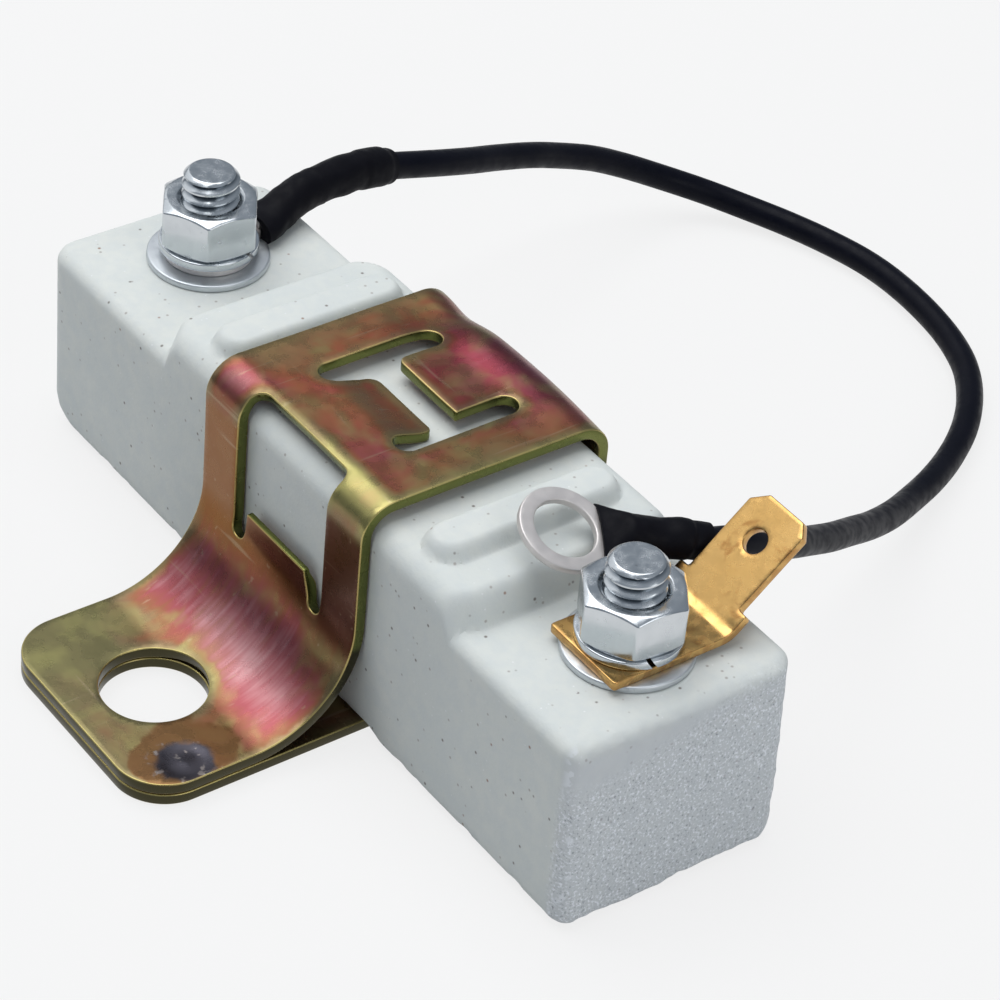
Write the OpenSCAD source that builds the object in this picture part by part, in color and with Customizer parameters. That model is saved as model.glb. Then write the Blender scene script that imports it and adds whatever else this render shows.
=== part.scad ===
// Ballast resistor: a ceramic body in a folded strap bracket, with two terminal studs,
// a spade terminal and a short jumper lead that ends in a loose ring terminal.
// The origin is the centre of the bolt hole in the bracket's foot, on its underside.
// X runs along the ceramic body, Y from the foot towards the body, Z up.

/* [Ceramic body] */
// Length of the body
body_length = 77.2; // [72:0.2:90]
// Width of the body
body_width = 22; // [21:0.5:28]
// Height of the body at the two terminal lands
land_height = 17; // [16:0.5:22]
// Height by which the middle stands above the lands
raise_height = 3; // [2.5:0.1:4]
// Length of the raised middle
raised_length = 44; // [42:0.5:46]
// Radius of the upright corners
body_corner = 2.5; // [1.5:0.1:3.5]
// Radius of the upper edges of the lands
land_edge = 1; // [0.5:0.1:1.5]
// Radius of the upper edges of the raised middle
raised_edge = 1.6; // [1:0.1:1.8]
// Radius of the lower edges
base_edge = 0.8; // [0.8:0.1:1.5]
// Thickness of the two long walls beside the channel
body_wall = 4; // [3:0.1:4.5]
// Thickness of the roof over the channel
body_roof = 3.5; // [3:0.1:4.5]

/* [Ridges] */
// Distance of each ridge from the middle of the body
ridge_offset = 15.4; // [14.5:0.1:17]
// Length of a ridge
ridge_length = 16.4; // [12:0.2:17.5]
// Width of a ridge at its foot
ridge_width = 4.4; // [3.5:0.1:5]
// Height of a ridge
ridge_height = 1.2; // [0.8:0.1:1.6]

/* [Cement and coil] */
// Depth of the cement that closes the channel
cement_depth = 4; // [3:0.1:5]
// Recess of the cement below the body's rim
cement_recess = 0.4; // [0.2:0.1:1]
// Outer diameter of the resistance coil
coil_outer = 7; // [5:0.1:7.5]
// Diameter of the resistance wire
coil_wire = 0.9; // [0.6:0.1:1.2]
// Number of turns of the coil
coil_turns = 14; // [8:1:18]
// Length of the wound part of the coil
coil_length = 32; // [26:1:36]

/* [Terminal studs] */
// Distance between the two studs
stud_spacing = 60; // [58:0.5:62]
// Thread diameter of the studs
stud_d = 5; // [4.8:0.1:5.2]
// Length of stud that stands above the nut
stud_tip = 2.6; // [1:0.1:5]
// Chamfer on the end of the stud
stud_chamfer = 0.7; // [0.3:0.1:1]
// Width across the flats of the stud's head
head_flats = 8; // [7:0.1:9]
// Height of the stud's head
head_height = 3.5; // [2.5:0.1:4]
// Room between each stud's head and the end of the channel
head_room = 0.5; // [0.2:0.1:1.5]
// Clearance round a stud in the body, washers and terminals, on the radius
stud_clearance = 0.15; // [0.1:0.05:0.3]

/* [Washers and nuts] */
// Outer diameter of the flat washer
washer_outer = 10.2; // [9.5:0.1:11]
// Thickness of the flat washer
washer_thick = 0.8; // [0.5:0.1:1.2]
// Outer diameter of the spring washer
spring_outer = 8.7; // [8:0.1:9]
// Thickness of the spring washer
spring_thick = 1.2; // [0.8:0.1:1.6]
// Width of the split in the spring washer
spring_split = 0.6; // [0.3:0.1:0.8]
// Direction of the split in the left spring washer, from the X axis
left_split = 25; // [0:5:355]
// Direction of the split in the right spring washer, from the X axis
right_split = -13; // [-180:1:180]
// Width across the flats of the nut
nut_flats = 8; // [7.5:0.1:9]
// Height of the nut
nut_height = 3.5; // [2.7:0.1:5]
// Inset of the nut's round face inside its flats
nut_inset = 0.15; // [0.05:0.05:0.4]
// Turn of the nuts about their studs
nut_turn = -4; // [-30:1:30]
// Clearance between the nut's bore and the stud, on the radius
thread_clearance = 0.05; // [0.05:0.01:0.1]

/* [Spade terminal] */
// Thickness of the brass sheet
spade_thick = 0.8; // [0.5:0.1:1]
// Width of the spade's base
spade_base = 8.2; // [8:0.1:9]
// Distance from the stud to the front end of the base
spade_front = 4.5; // [4:0.1:5.5]
// Distance from the stud to the bend
spade_run = 6; // [5.5:0.1:7]
// Inner radius of the spade's bend
spade_bend = 1.5; // [1:0.1:2]
// Angle of the blade above the base
blade_angle = 40; // [30:1:60]
// Length of full width beyond the bend
spade_shoulder = 1.4; // [0.8:0.1:1.8]
// Width of the blade
blade_width = 6.3; // [4.8:0.1:7]
// Length of the blade beyond its shoulders
blade_length = 8.3; // [6:0.1:9]
// Chamfer on the corners of the blade's tip
blade_chamfer = 1.2; // [0.6:0.1:1.6]
// Diameter of the detent hole in the blade
blade_hole = 2; // [1.5:0.1:2.4]
// Distance from the shoulders to the detent hole
blade_hole_at = 4.8; // [4:0.1:5]

/* [Strap bracket] */
// Width of the strap
strap_width = 22.6; // [21:0.1:23]
// Thickness of the strap's sheet
sheet = 1; // [0.8:0.1:1.2]
// Gap between the strap's legs and the body
leg_gap = 0.1; // [0.05:0.05:0.3]
// Gap between the raised middle and the strap's top plate
plate_gap = 1; // [0.6:0.1:1.4]
// Inner radius of the two upper bends
upper_bend = 2; // [1.8:0.1:2.5]
// Inner radius of the lower rear bend
lower_bend = 0.8; // [0.6:0.1:1.1]
// Radius of the sweep from the leg to the foot, on its hollow side
foot_sweep = 9; // [7:0.5:10]
// Distance from the bolt hole to the front leg's outer face
hole_to_leg = 11.4; // [11:0.1:18]
// Distance from the bolt hole to the end of the foot
foot_end = 7.7; // [7:0.1:10]
// Diameter of the bolt hole
bolt_hole = 9; // [6:0.1:10]
// Radius of the foot's two corners
foot_corner = 4.5; // [2:0.1:6]
// Gap between the foot's two layers away from the weld
foot_seam = 0.1; // [0.05:0.05:0.2]
// Diameter of the spot weld that joins the two layers
weld_d = 4; // [3:0.1:4.2]
// Distance of the spot weld's centre from the strap's edge
weld_edge = 2.2; // [2.2:0.1:4]
// Distance of the spot weld's centre beyond the bolt hole's
weld_back = 2.7; // [0:0.1:3.5]

/* [Strap cut-outs] */
// Width of the window in the front leg
window_width = 12.8; // [11:0.1:14]
// Distance that the window reaches into the upper bend, from the leg's face
window_reach = 2.3; // [1.5:0.1:2.8]
// Radius of the window's upper corners
window_corner = 1.2; // [0.6:0.1:1.4]
// Height of the tongue's tip above the foot's underside
tongue_height = 12.4; // [11.5:0.1:13.5]
// Height of the slits' ends above the foot's underside
slit_height = 9; // [8.5:0.1:10]
// Width of the tongue at its tip
tongue_width = 8.4; // [7:0.1:9]
// Width of a slit at its lower end
slit_width = 1.5; // [1:0.1:1.8]
// Angle by which the tongue leans away from the body
tongue_lean = 4; // [2:0.5:8]
// Length of the two slots of the cut in the top plate
slot_length = 11.8; // [10:0.1:13]
// Width of each slot
slot_width = 2.4; // [1.8:0.1:2.6]
// Distance between the outer sides of the two slots
slot_span = 13.1; // [11:0.1:14]
// Distance of the slots' middles behind the plate's middle
slot_shift = 0.9; // [0:0.1:1.2]
// Width of the cut that joins the slots
stem_width = 2.2; // [2:0.1:3.6]
// Distance of that cut's middle behind the plate's middle
stem_shift = 0.6; // [0:0.1:1.2]
// Gap that is left between the spring tab's tip and the body
tab_clearance = 0.05; // [0.05:0.05:0.5]

/* [Jumper lead] */
// Diameter of the lead over its insulation
lead_d = 2.5; // [2:0.1:2.7]
// Outer diameter of the ring terminals
ring_outer = 7.8; // [7:0.1:9]
// Thickness of the ring terminals
ring_thick = 0.8; // [0.6:0.1:1]
// Diameter of a ring terminal's crimped barrel
barrel_d = 3; // [2.9:0.1:3.4]
// Length of a ring terminal's barrel
barrel_length = 4.6; // [3.5:0.1:5.5]
// Width of the neck between ring and barrel
neck_width = 2.6; // [2:0.1:2.7]
// Room between a barrel or sleeve and the nut or washer beside it
terminal_room = 0.3; // [0.2:0.1:0.5]
// Wall of the shrunk sleeves
sleeve_wall = 0.35; // [0.15:0.05:0.35]
// Clearance between the lead and its sleeve, on the radius
sleeve_clearance = 0.1; // [0.1:0.05:0.2]
// Length over which a sleeve narrows from the barrel to the lead
sleeve_taper = 1.5; // [1:0.1:1.8]
// Direction of the fixed terminal's barrel, from the X axis
lead_turn = 100; // [95:1:110]
// Straight length of the fixed sleeve beyond its barrel
sleeve_straight = 3; // [3:0.1:6]
// Radius of the fixed sleeve's sag
sleeve_sag = 26; // [25:1:60]
// Angle through which the fixed sleeve sags
sleeve_drop = 20; // [8:1:20]
// Length of the free sleeve beyond its barrel
free_sleeve_over = 2.3; // [1.9:0.1:4]
// Outer diameter of the free sleeve's wide mouth
sleeve_mouth = 4.7; // [4.7:0.1:5.4]
// Length of the cone behind the free sleeve's mouth
mouth_taper = 1.6; // [1:0.1:2.5]
// Distance of the free ring's centre from the right stud, along the body
free_ring_x = 9.5; // [9.4:0.1:11]
// Distance of the free ring's centre behind the body's middle
free_ring_y = 0.2; // [-1:0.1:1]
// Height of the free ring's centre above the raised middle
free_ring_rise = 2.15; // [2.1:0.05:3]
// Turn of the free ring about the vertical
free_turn = -22; // [-26:1:-18]
// Tilt of the free ring along its barrel
free_pitch = -16; // [-18:1:-12]
// Tilt of the free ring across its barrel
free_roll = 17.5; // [14:0.5:20]

/* [Hidden] */
$fn = 64;
// Overlap of two solids that are fused, overshoot of a cut, and a length that outruns every cut
eps = 0.01;
over = 1;
through = 60;

// Heights above the foot's underside
body_z = sheet;
land_z = body_z + land_height;
top_z = land_z + raise_height;
roof_z = land_z - body_roof;
high_roof_z = top_z - body_roof;
terminal_z = land_z + washer_thick;
plate_z = top_z + plate_gap;
foot_z = 2 * sheet + foot_seam;

// Places along the strap, with its legs close to the body's two faces
leg_in = body_width / 2 + leg_gap;
leg_out = leg_in + sheet;
front_face = hole_to_leg;
body_y = front_face + leg_out;

// Line that the spring tab bends on, where the slots' straight sides start
tab_root = slot_shift - slot_length / 2 + slot_width / 2;

// Channel in the body, and the stud and coil inside it
channel_length = stud_spacing + head_flats + 2 * head_room;
channel_width = body_width - 2 * body_wall;
high_length = raised_length - body_roof;
stud_x = stud_spacing / 2;
stud_r = stud_d / 2;
stud_hole_r = stud_r + stud_clearance;
coil_z = roof_z - head_height / 2;
coil_r = (coil_outer - coil_wire) / 2;
coil_tail_x = stud_x - head_flats / 2;

// Base of each stack's spring washer and nut, over a terminal of thickness t
function spring_z(t) = terminal_z + t;
function nut_z(t) = spring_z(t) + spring_thick;

// Lead, its two terminals and the poses of their barrels
lead_r = lead_d / 2;
barrel_r = barrel_d / 2;
barrel_rise = barrel_r - ring_thick / 2;
ring_bore_r = stud_hole_r;
nut_corner_r = nut_flats / 2 / cos(30);
barrel_start = max(ring_outer / 2, spring_outer / 2, nut_corner_r) + terminal_room;
barrel_end = barrel_start + barrel_length;
sleeve_r = barrel_r + sleeve_wall;
sleeve_thin_r = lead_r + sleeve_clearance + sleeve_wall;
fixed_sleeve_start = max(barrel_start, washer_outer / 2 + terminal_room);
fixed_sleeve_end = barrel_end + sleeve_straight;
mouth_r = sleeve_mouth / 2;
mouth_start = ring_outer / 2 + terminal_room;
mouth_end = barrel_start + terminal_room;
free_sleeve_end = barrel_end + free_sleeve_over;
fixed_ring_at = [-stud_x, body_y, terminal_z + ring_thick / 2];
free_ring_at = [stud_x - free_ring_x, body_y + free_ring_y, top_z + free_ring_rise];

// Free stretch of the lead: it sags to the floor behind the body and comes back up to the ring
lead_route = [
    [-34.2, 50.5, 16.7], [-35, 55, 15.1], [-36, 59, 13.6], [-36.8, 63.5, 12], [-37.5, 67.5, 10.3],
    [-37.8, 72, 8.4], [-37.6, 76, 6.4], [-36.6, 80, 4.4], [-34.4, 83.8, 2.8], [-31.2, 86.8, 1.8],
    [-27.4, 89, 1.4], [-23, 90.6, 1.3], [-18.5, 91.6, 1.3], [-14, 91.8, 1.3], [-9, 91.3, 1.3],
    [-4.4, 90.2, 1.3], [-0.3, 88.4, 1.3], [3.4, 85.6, 1.3], [6.5, 82.2, 1.3], [9.2, 78.1, 1.5],
    [11.6, 73.7, 2.2], [13.7, 69.2, 3.2], [16, 64.7, 4.9], [18.1, 60.1, 7], [20, 55.8, 9.4],
    [21.9, 51.6, 11.8], [23.4, 47.6, 14.1], [24.9, 43.8, 16.4], [25.6, 40.4, 18.3], [25.7, 37.4, 19.9]
];

// Rectangle on the X axis with round upper and lower corners
module rounded_section(width, height, upper, lower) {
    translate([-width / 2, lower]) square([width, height - upper - lower]);
    translate([-width / 2 + upper, lower]) square([width - 2 * upper, height - lower]);
    translate([-width / 2 + lower, 0]) square([width - 2 * lower, height - upper]);
    for (side = [-1, 1]) {
        translate([side * (width / 2 - upper), height - upper]) circle(r = upper);
        translate([side * (width / 2 - lower), lower]) circle(r = lower);
    }
}

// Rectangle about the origin with round corners
module rounded_plan(length, width, corner) {
    translate([0, -width / 2]) rounded_section(length, width, corner, corner);
}

// Block with round upright corners, upper edges and lower edges
module pressed_block(length, height, upper) {
    intersection() {
        rotate([90, 0, 90]) linear_extrude(length, center = true)
            rounded_section(body_width, height, upper, base_edge);
        rotate([90, 0, 0]) linear_extrude(body_width, center = true)
            rounded_section(length, height, upper, base_edge);
        linear_extrude(height) rounded_plan(length, body_width, body_corner);
    }
}

// Round bar with ball ends, sunk so that only its crown shows as a ridge
module ridge_bar() {
    bar_r = (pow(ridge_width / 2, 2) + pow(ridge_height, 2)) / (2 * ridge_height);
    half = (ridge_length - ridge_width) / 2;
    translate([0, 0, ridge_height - bar_r]) rotate([90, 0, 0]) rotate_extrude() intersection() {
        translate([0, -half - bar_r]) square([bar_r, 2 * (half + bar_r)]);
        union() {
            translate([0, -half]) square([bar_r, 2 * half]);
            for (side = [-1, 1]) translate([0, side * half]) circle(r = bar_r);
        }
    }
}

// Pressed ceramic housing with a channel that is open below
module ceramic_body() {
    color("lightgray") translate([0, body_y, 0]) difference() {
        union() {
            translate([0, 0, body_z]) pressed_block(body_length, land_height, land_edge);
            translate([0, 0, body_z]) pressed_block(raised_length, land_height + raise_height, raised_edge);
            for (side = [-1, 1]) translate([side * ridge_offset, 0, top_z]) ridge_bar();
        }
        translate([-channel_length / 2, -channel_width / 2, body_z - over])
            cube([channel_length, channel_width, roof_z - body_z + over]);
        translate([-high_length / 2, -channel_width / 2, body_z - over])
            cube([high_length, channel_width, high_roof_z - body_z + over]);
        for (side = [-1, 1]) translate([side * stud_x, 0, roof_z - over])
            cylinder(r = stud_hole_r, h = body_roof + 2 * over);
    }
}

// Cement poured into the mouth of the channel
module cement_seal() {
    color("gainsboro") translate([-channel_length / 2, body_y - channel_width / 2, body_z + cement_recess])
        cube([channel_length, channel_width, cement_depth]);
}

// Point of the coil's centreline: a tail on the axis, a run out to the turns, the turns, and the same back
function coil_point(a, turns) =
    let (
        out = min(1, min(a, turns - a) * 2),
        radius = coil_r * out,
        x = -coil_length / 2 + coil_length * a / turns
    )
    [x, radius * cos(360 * a), radius * sin(360 * a)];

// Unit vector, and a tube of rings swept along a list of points
function unit(v) = v / norm(v);
function heading(p, i) = unit(p[min(i + 1, len(p) - 1)] - p[max(i - 1, 0)]);
function side_of(t) = unit(cross(t, abs(t.z) < 0.8 ? [0, 0, 1] : [1, 0, 0]));
function ring_points(centre, t, r, sides) =
    let (u = side_of(t), v = cross(u, t))
    [for (k = [0 : sides - 1]) centre + r * (cos(360 * k / sides) * u + sin(360 * k / sides) * v)];

module swept_tube(points, r, sides) {
    count = len(points);
    rings = [for (i = [0 : count - 1]) each ring_points(points[i], heading(points, i), r, sides)];
    walls = [
        for (i = [0 : count - 2]) for (k = [0 : sides - 1])
            let (a = i * sides + k, b = i * sides + (k + 1) % sides)
            each [[a, b, b + sides], [a, b + sides, a + sides]]
    ];
    first = [for (k = [1 : sides - 2]) [0, k + 1, k]];
    end = (count - 1) * sides;
    last = [for (k = [1 : sides - 2]) [end, end + k, end + k + 1]];
    polyhedron(points = rings, faces = concat(walls, first, last));
}

// Coil of resistance wire, with a straight tail to each stud's head
module resistance_coil() {
    steps = 12;
    wound = [for (i = [0 : coil_turns * steps]) coil_point(i / steps, coil_turns)];
    path = concat([[-coil_tail_x, 0, 0]], wound, [[coil_tail_x, 0, 0]]);
    color("dimgray") translate([0, body_y, coil_z]) swept_tube(path, coil_wire / 2, 6);
}

// Quarter of a bent sheet between an inner and an outer radius, in the quadrant that its angle starts
module bend_section(inner, start) {
    rotate(start) intersection() {
        square(inner + sheet);
        difference() {
            circle(r = inner + sheet);
            circle(r = inner);
        }
    }
}

// Path of the folded strap, seen along X: foot, front leg, top plate, rear leg and lower layer
module strap_section() {
    plate_top = plate_z + sheet;
    upper_y = leg_in - upper_bend;
    upper_z = plate_z - upper_bend;
    lower_y = leg_in - lower_bend;
    lower_z = sheet + lower_bend;
    sweep_y = front_face - foot_sweep;
    sweep_z = foot_z + foot_sweep;
    translate([-foot_end, foot_z - sheet]) square([foot_end + sweep_y, sheet]);
    translate([sweep_y, sweep_z]) bend_section(foot_sweep, -90);
    translate([front_face, sweep_z]) square([sheet, upper_z - sweep_z]);
    translate([body_y - upper_y, upper_z]) bend_section(upper_bend, 90);
    translate([body_y - upper_y, plate_z]) square([2 * upper_y, plate_top - plate_z]);
    translate([body_y + upper_y, upper_z]) bend_section(upper_bend, 0);
    translate([body_y + leg_in, lower_z]) square([sheet, upper_z - lower_z]);
    translate([body_y + lower_y, lower_z]) bend_section(lower_bend, -90);
    translate([-foot_end, 0]) square([foot_end + body_y + lower_y, sheet]);
}

// Shape that rounds one corner of the foot off
module corner_cut() {
    difference() {
        square(foot_corner + over);
        circle(r = foot_corner);
    }
}

// Window in the front leg, with the two slits beside the tongue
module window_cut() {
    deep = 2 * leg_out;
    reach_y = front_face + window_reach;
    translate([0, reach_y - deep / 2, tongue_height])
        linear_extrude(through) rounded_plan(window_width, deep, window_corner);
    slit_r = slit_width / 2;
    translate([0, body_y - leg_in + eps, 0]) rotate([90, 0, 0]) linear_extrude(sheet + foot_sweep / 2)
        for (side = [-1, 1]) {
            slit_x = side * (window_width / 2 - slit_r);
            translate([slit_x, slit_height + slit_r]) circle(r = slit_r);
            translate([slit_x - slit_r, slit_height + slit_r])
                square([slit_width, tongue_height - slit_height]);
        }
    tongue_clear(deep);
}

// Space above the slits' ends that the leaning tongue stands in
module tongue_clear(deep) {
    root = slit_height + slit_width / 2;
    translate([-window_width / 2 + slit_width / 2, body_y - leg_in + eps - deep, root])
        cube([window_width - slit_width, deep, tongue_height - root + eps]);
}

// Tongue that leans out of the window's lower edge
module tongue() {
    root = slit_height + slit_width / 2;
    drop = foot_z + foot_sweep - root;
    root_y = front_face - foot_sweep + sqrt(pow(foot_sweep, 2) - pow(drop, 2));
    rise = tongue_height - root;
    root_half = window_width / 2 - slit_width;
    intersection() {
        translate([0, root_y, root]) rotate([tongue_lean, 0, 0]) translate([-through / 2, 0, -sheet])
            cube([through, sheet, rise / cos(tongue_lean) + sheet]);
        translate([0, through, root]) rotate([90, 0, 0]) linear_extrude(2 * through) polygon([
            [-root_half, -sheet], [root_half, -sheet], [root_half, 0],
            [tongue_width / 2, rise], [-tongue_width / 2, rise], [-root_half, 0]
        ]);
    }
}

// Slot along Y with round ends
module round_slot(width, length) {
    half = (length - width) / 2;
    translate([-width / 2, -half]) square([width, 2 * half]);
    for (side = [-1, 1]) translate([0, side * half]) circle(d = width);
}

// Cut in the top plate: two slots, and between them the room of the spring tab and of the stem
module plate_cut() {
    slot_x = (slot_span - slot_width) / 2;
    stem_end = stem_shift + stem_width / 2;
    translate([0, body_y, plate_z - over]) linear_extrude(sheet + 2 * over) {
        for (side = [-1, 1]) translate([side * slot_x, slot_shift]) round_slot(slot_width, slot_length);
        translate([-slot_x, tab_root]) square([2 * slot_x, stem_end - tab_root]);
    }
}

// Spring tab that dips from the front of the top plate onto the body; the flap behind the stem is level
module spring_tab() {
    tip = stem_shift - stem_width / 2;
    drop = plate_gap - tab_clearance;
    width = slot_span - 2 * slot_width;
    translate([0, body_y, plate_z]) rotate([90, 0, 90]) linear_extrude(width, center = true) polygon([
        [tab_root - sheet, 0], [tab_root, 0], [tip, -drop], [tip, sheet - drop],
        [tab_root, sheet], [tab_root - sheet, sheet]
    ]);
}

// Folded strap that holds the body and carries the foot, one piece of sheet
module strap_bracket() {
    color("darkgoldenrod") difference() {
        union() {
            difference() {
                rotate([90, 0, 90]) linear_extrude(strap_width, center = true) strap_section();
                window_cut();
                plate_cut();
            }
            tongue();
            spring_tab();
            translate([strap_width / 2 - weld_edge, -weld_back, sheet - eps])
                cylinder(d = weld_d, h = foot_seam + 2 * eps);
        }
        translate([0, 0, -over]) cylinder(d = bolt_hole, h = foot_z + foot_sweep / 2);
        for (side = [-1, 1])
            translate([side * (strap_width / 2 - foot_corner), -foot_end + foot_corner, -over])
                rotate(side > 0 ? -90 : 180) linear_extrude(foot_z + 2 * over) corner_cut();
    }
}

// Hexagonal prism on the XY plane with two sides across X
module hexagon(flats, height) {
    rotate(30) cylinder(d = flats / cos(30), h = height, $fn = 6);
}

// Threaded stud with its head under the body's roof
module terminal_stud(side, terminal_thick) {
    tip_z = nut_z(terminal_thick) + nut_height + stud_tip;
    color("silver") translate([side * stud_x, body_y, 0]) {
        translate([0, 0, roof_z - head_height]) hexagon(head_flats, head_height);
        rotate_extrude() polygon([
            [0, roof_z - head_height / 2], [stud_r, roof_z - head_height / 2],
            [stud_r, tip_z - stud_chamfer], [stud_r - stud_chamfer, tip_z], [0, tip_z]
        ]);
    }
}

// Flat ring with its underside on the XY plane
module flat_ring(outer_r, bore_r, height) {
    difference() {
        cylinder(r = outer_r, h = height);
        translate([0, 0, -over]) cylinder(r = bore_r, h = height + 2 * over);
    }
}

module flat_washer(side) {
    color("silver") translate([side * stud_x, body_y, land_z])
        flat_ring(washer_outer / 2, stud_hole_r, washer_thick);
}

// Split spring washer, pressed flat by its nut
module spring_washer(side, terminal_thick, split_turn) {
    split_lean = 30;
    reach = 2 * spring_thick;
    color("silver") translate([side * stud_x, body_y, spring_z(terminal_thick)]) difference() {
        flat_ring(spring_outer / 2, stud_hole_r, spring_thick);
        rotate(split_turn) translate([0, 0, spring_thick / 2]) rotate([split_lean, 0, 0])
            translate([0, -spring_split / 2, -reach]) cube([spring_outer, spring_split, 2 * reach]);
    }
}

// Hexagon nut with its corners chamfered above and below
module hex_nut(side, terminal_thick) {
    chamfer_angle = 30;
    face_r = nut_flats / 2 - nut_inset;
    slope = (nut_corner_r - face_r) * tan(chamfer_angle);
    color("silver") translate([side * stud_x, body_y, nut_z(terminal_thick)]) difference() {
        intersection() {
            rotate(nut_turn) hexagon(nut_flats, nut_height);
            rotate_extrude() polygon([
                [0, 0], [face_r, 0], [nut_corner_r, slope],
                [nut_corner_r, nut_height - slope], [face_r, nut_height], [0, nut_height]
            ]);
        }
        translate([0, 0, -over]) cylinder(r = stud_r + thread_clearance, h = nut_height + 2 * over);
    }
}

// Outline of the blade from the bend outwards, along Y, with a little overlap to fuse with the bend
module blade_outline() {
    tip = spade_shoulder + blade_length;
    half = blade_width / 2;
    difference() {
        polygon([
            [-spade_base / 2, -eps], [spade_base / 2, -eps], [spade_base / 2, spade_shoulder],
            [half, spade_shoulder], [half, tip - blade_chamfer], [half - blade_chamfer, tip],
            [-half + blade_chamfer, tip], [-half, tip - blade_chamfer],
            [-half, spade_shoulder], [-spade_base / 2, spade_shoulder]
        ]);
        translate([0, spade_shoulder + blade_hole_at]) circle(d = blade_hole);
    }
}

// Brass spade: a base under the right nut, a bend and a blade that slants up and back
module spade_terminal() {
    color("goldenrod") translate([stud_x, body_y, terminal_z]) {
        linear_extrude(spade_thick) difference() {
            translate([-spade_base / 2, -spade_front]) square([spade_base, spade_front + spade_run]);
            circle(r = stud_hole_r);
        }
        translate([0, spade_run, spade_thick + spade_bend]) {
            rotate([90, 0, 90]) linear_extrude(spade_base, center = true) spade_bend_section();
            rotate([blade_angle, 0, 0]) translate([0, 0, -spade_bend - spade_thick])
                linear_extrude(spade_thick) blade_outline();
        }
    }
}

// Section of the spade's bend: a sector of a ring, opening from straight down towards the blade
module spade_bend_section() {
    far = 2 * (spade_bend + spade_thick);
    intersection() {
        difference() {
            circle(r = spade_bend + spade_thick);
            circle(r = spade_bend);
        }
        polygon([[0, 0], [0, -far], [far * sin(blade_angle / 2), -far * cos(blade_angle / 2)],
            [far * sin(blade_angle), -far * cos(blade_angle)]]);
    }
}

// Ring terminal: a flat ring about the origin, with its crimped barrel along Y
module ring_terminal() {
    color("darkgray") difference() {
        union() {
            translate([0, 0, -ring_thick / 2]) cylinder(d = ring_outer, h = ring_thick);
            translate([-neck_width / 2, 0, -ring_thick / 2]) cube([neck_width, barrel_start + eps, ring_thick]);
            translate([0, barrel_start, barrel_rise]) rotate([-90, 0, 0])
                cylinder(r = barrel_r, h = barrel_length);
        }
        translate([0, 0, -ring_thick]) cylinder(r = ring_bore_r, h = 2 * ring_thick);
    }
}

// Shrunk sleeve over a barrel and the end of the lead, turned about Y from its first points to its end
module turned_sleeve(first, end) {
    inner_r = sleeve_thin_r - sleeve_wall;
    translate([0, 0, barrel_rise]) rotate([-90, 0, 0]) rotate_extrude() polygon(concat(first, [
        [sleeve_r, barrel_end], [sleeve_thin_r, barrel_end + sleeve_taper], [sleeve_thin_r, end],
        [inner_r, end], [inner_r, barrel_end], [barrel_r, barrel_end]
    ]));
}

// Pose of the fixed terminal on its stud, and of the free one where it lies on the body
module at_fixed_ring() {
    translate(fixed_ring_at) rotate(lead_turn - 90) children();
}

module at_free_ring() {
    translate(free_ring_at) rotate(free_turn) rotate([free_pitch, 0, 0]) rotate([0, free_roll, 0]) children();
}

module fixed_ring_terminal() {
    at_fixed_ring() ring_terminal();
}

module free_ring_terminal() {
    at_free_ring() ring_terminal();
}

// Sleeve of the fixed terminal, with a short sag where it leaves the body
module fixed_sleeve() {
    color("black") at_fixed_ring() {
        turned_sleeve([[barrel_r, fixed_sleeve_start], [sleeve_r, fixed_sleeve_start]], fixed_sleeve_end);
        translate([0, fixed_sleeve_end, barrel_rise - sleeve_sag]) rotate([0, -90, 0])
            rotate_extrude(angle = sleeve_drop) translate([sleeve_sag, 0]) difference() {
                circle(r = sleeve_thin_r);
                circle(r = sleeve_thin_r - sleeve_wall);
            }
    }
}

// Sleeve of the free terminal, with a wide mouth round the terminal's neck
module free_sleeve() {
    mouth_in = mouth_r - sleeve_wall;
    mouth = [
        [barrel_r, mouth_end], [mouth_in, mouth_end], [mouth_in, mouth_start], [mouth_r, mouth_start],
        [mouth_r, mouth_end], [sleeve_r, mouth_end + mouth_taper]
    ];
    color("black") at_free_ring() turned_sleeve(mouth, free_sleeve_end);
}

// The same two poses for points, so that the lead starts and ends in its barrels
function turned_z(p, a) = [p.x * cos(a) - p.y * sin(a), p.x * sin(a) + p.y * cos(a), p.z];
function turned_x(p, a) = [p.x, p.y * cos(a) - p.z * sin(a), p.y * sin(a) + p.z * cos(a)];
function turned_y(p, a) = [p.x * cos(a) + p.z * sin(a), p.y, p.z * cos(a) - p.x * sin(a)];
function on_fixed(p) = fixed_ring_at + turned_z(p, lead_turn - 90);
function on_free(p) = free_ring_at + turned_z(turned_x(turned_y(p, free_roll), free_pitch), free_turn);
function sag_point(a) =
    [0, fixed_sleeve_end + sleeve_sag * sin(a), barrel_rise - sleeve_sag * (1 - cos(a))];

// Insulated lead from the fixed barrel to the free one
module jumper_lead() {
    path = concat(
        [on_fixed([0, barrel_end, barrel_rise]), on_fixed([0, fixed_sleeve_end, barrel_rise])],
        [for (part = [1 : 3]) on_fixed(sag_point(sleeve_drop * part / 3))],
        lead_route,
        [on_free([0, free_sleeve_end, barrel_rise]), on_free([0, barrel_end, barrel_rise])]
    );
    color("black") swept_tube(path, lead_r, 8);
}

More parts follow.
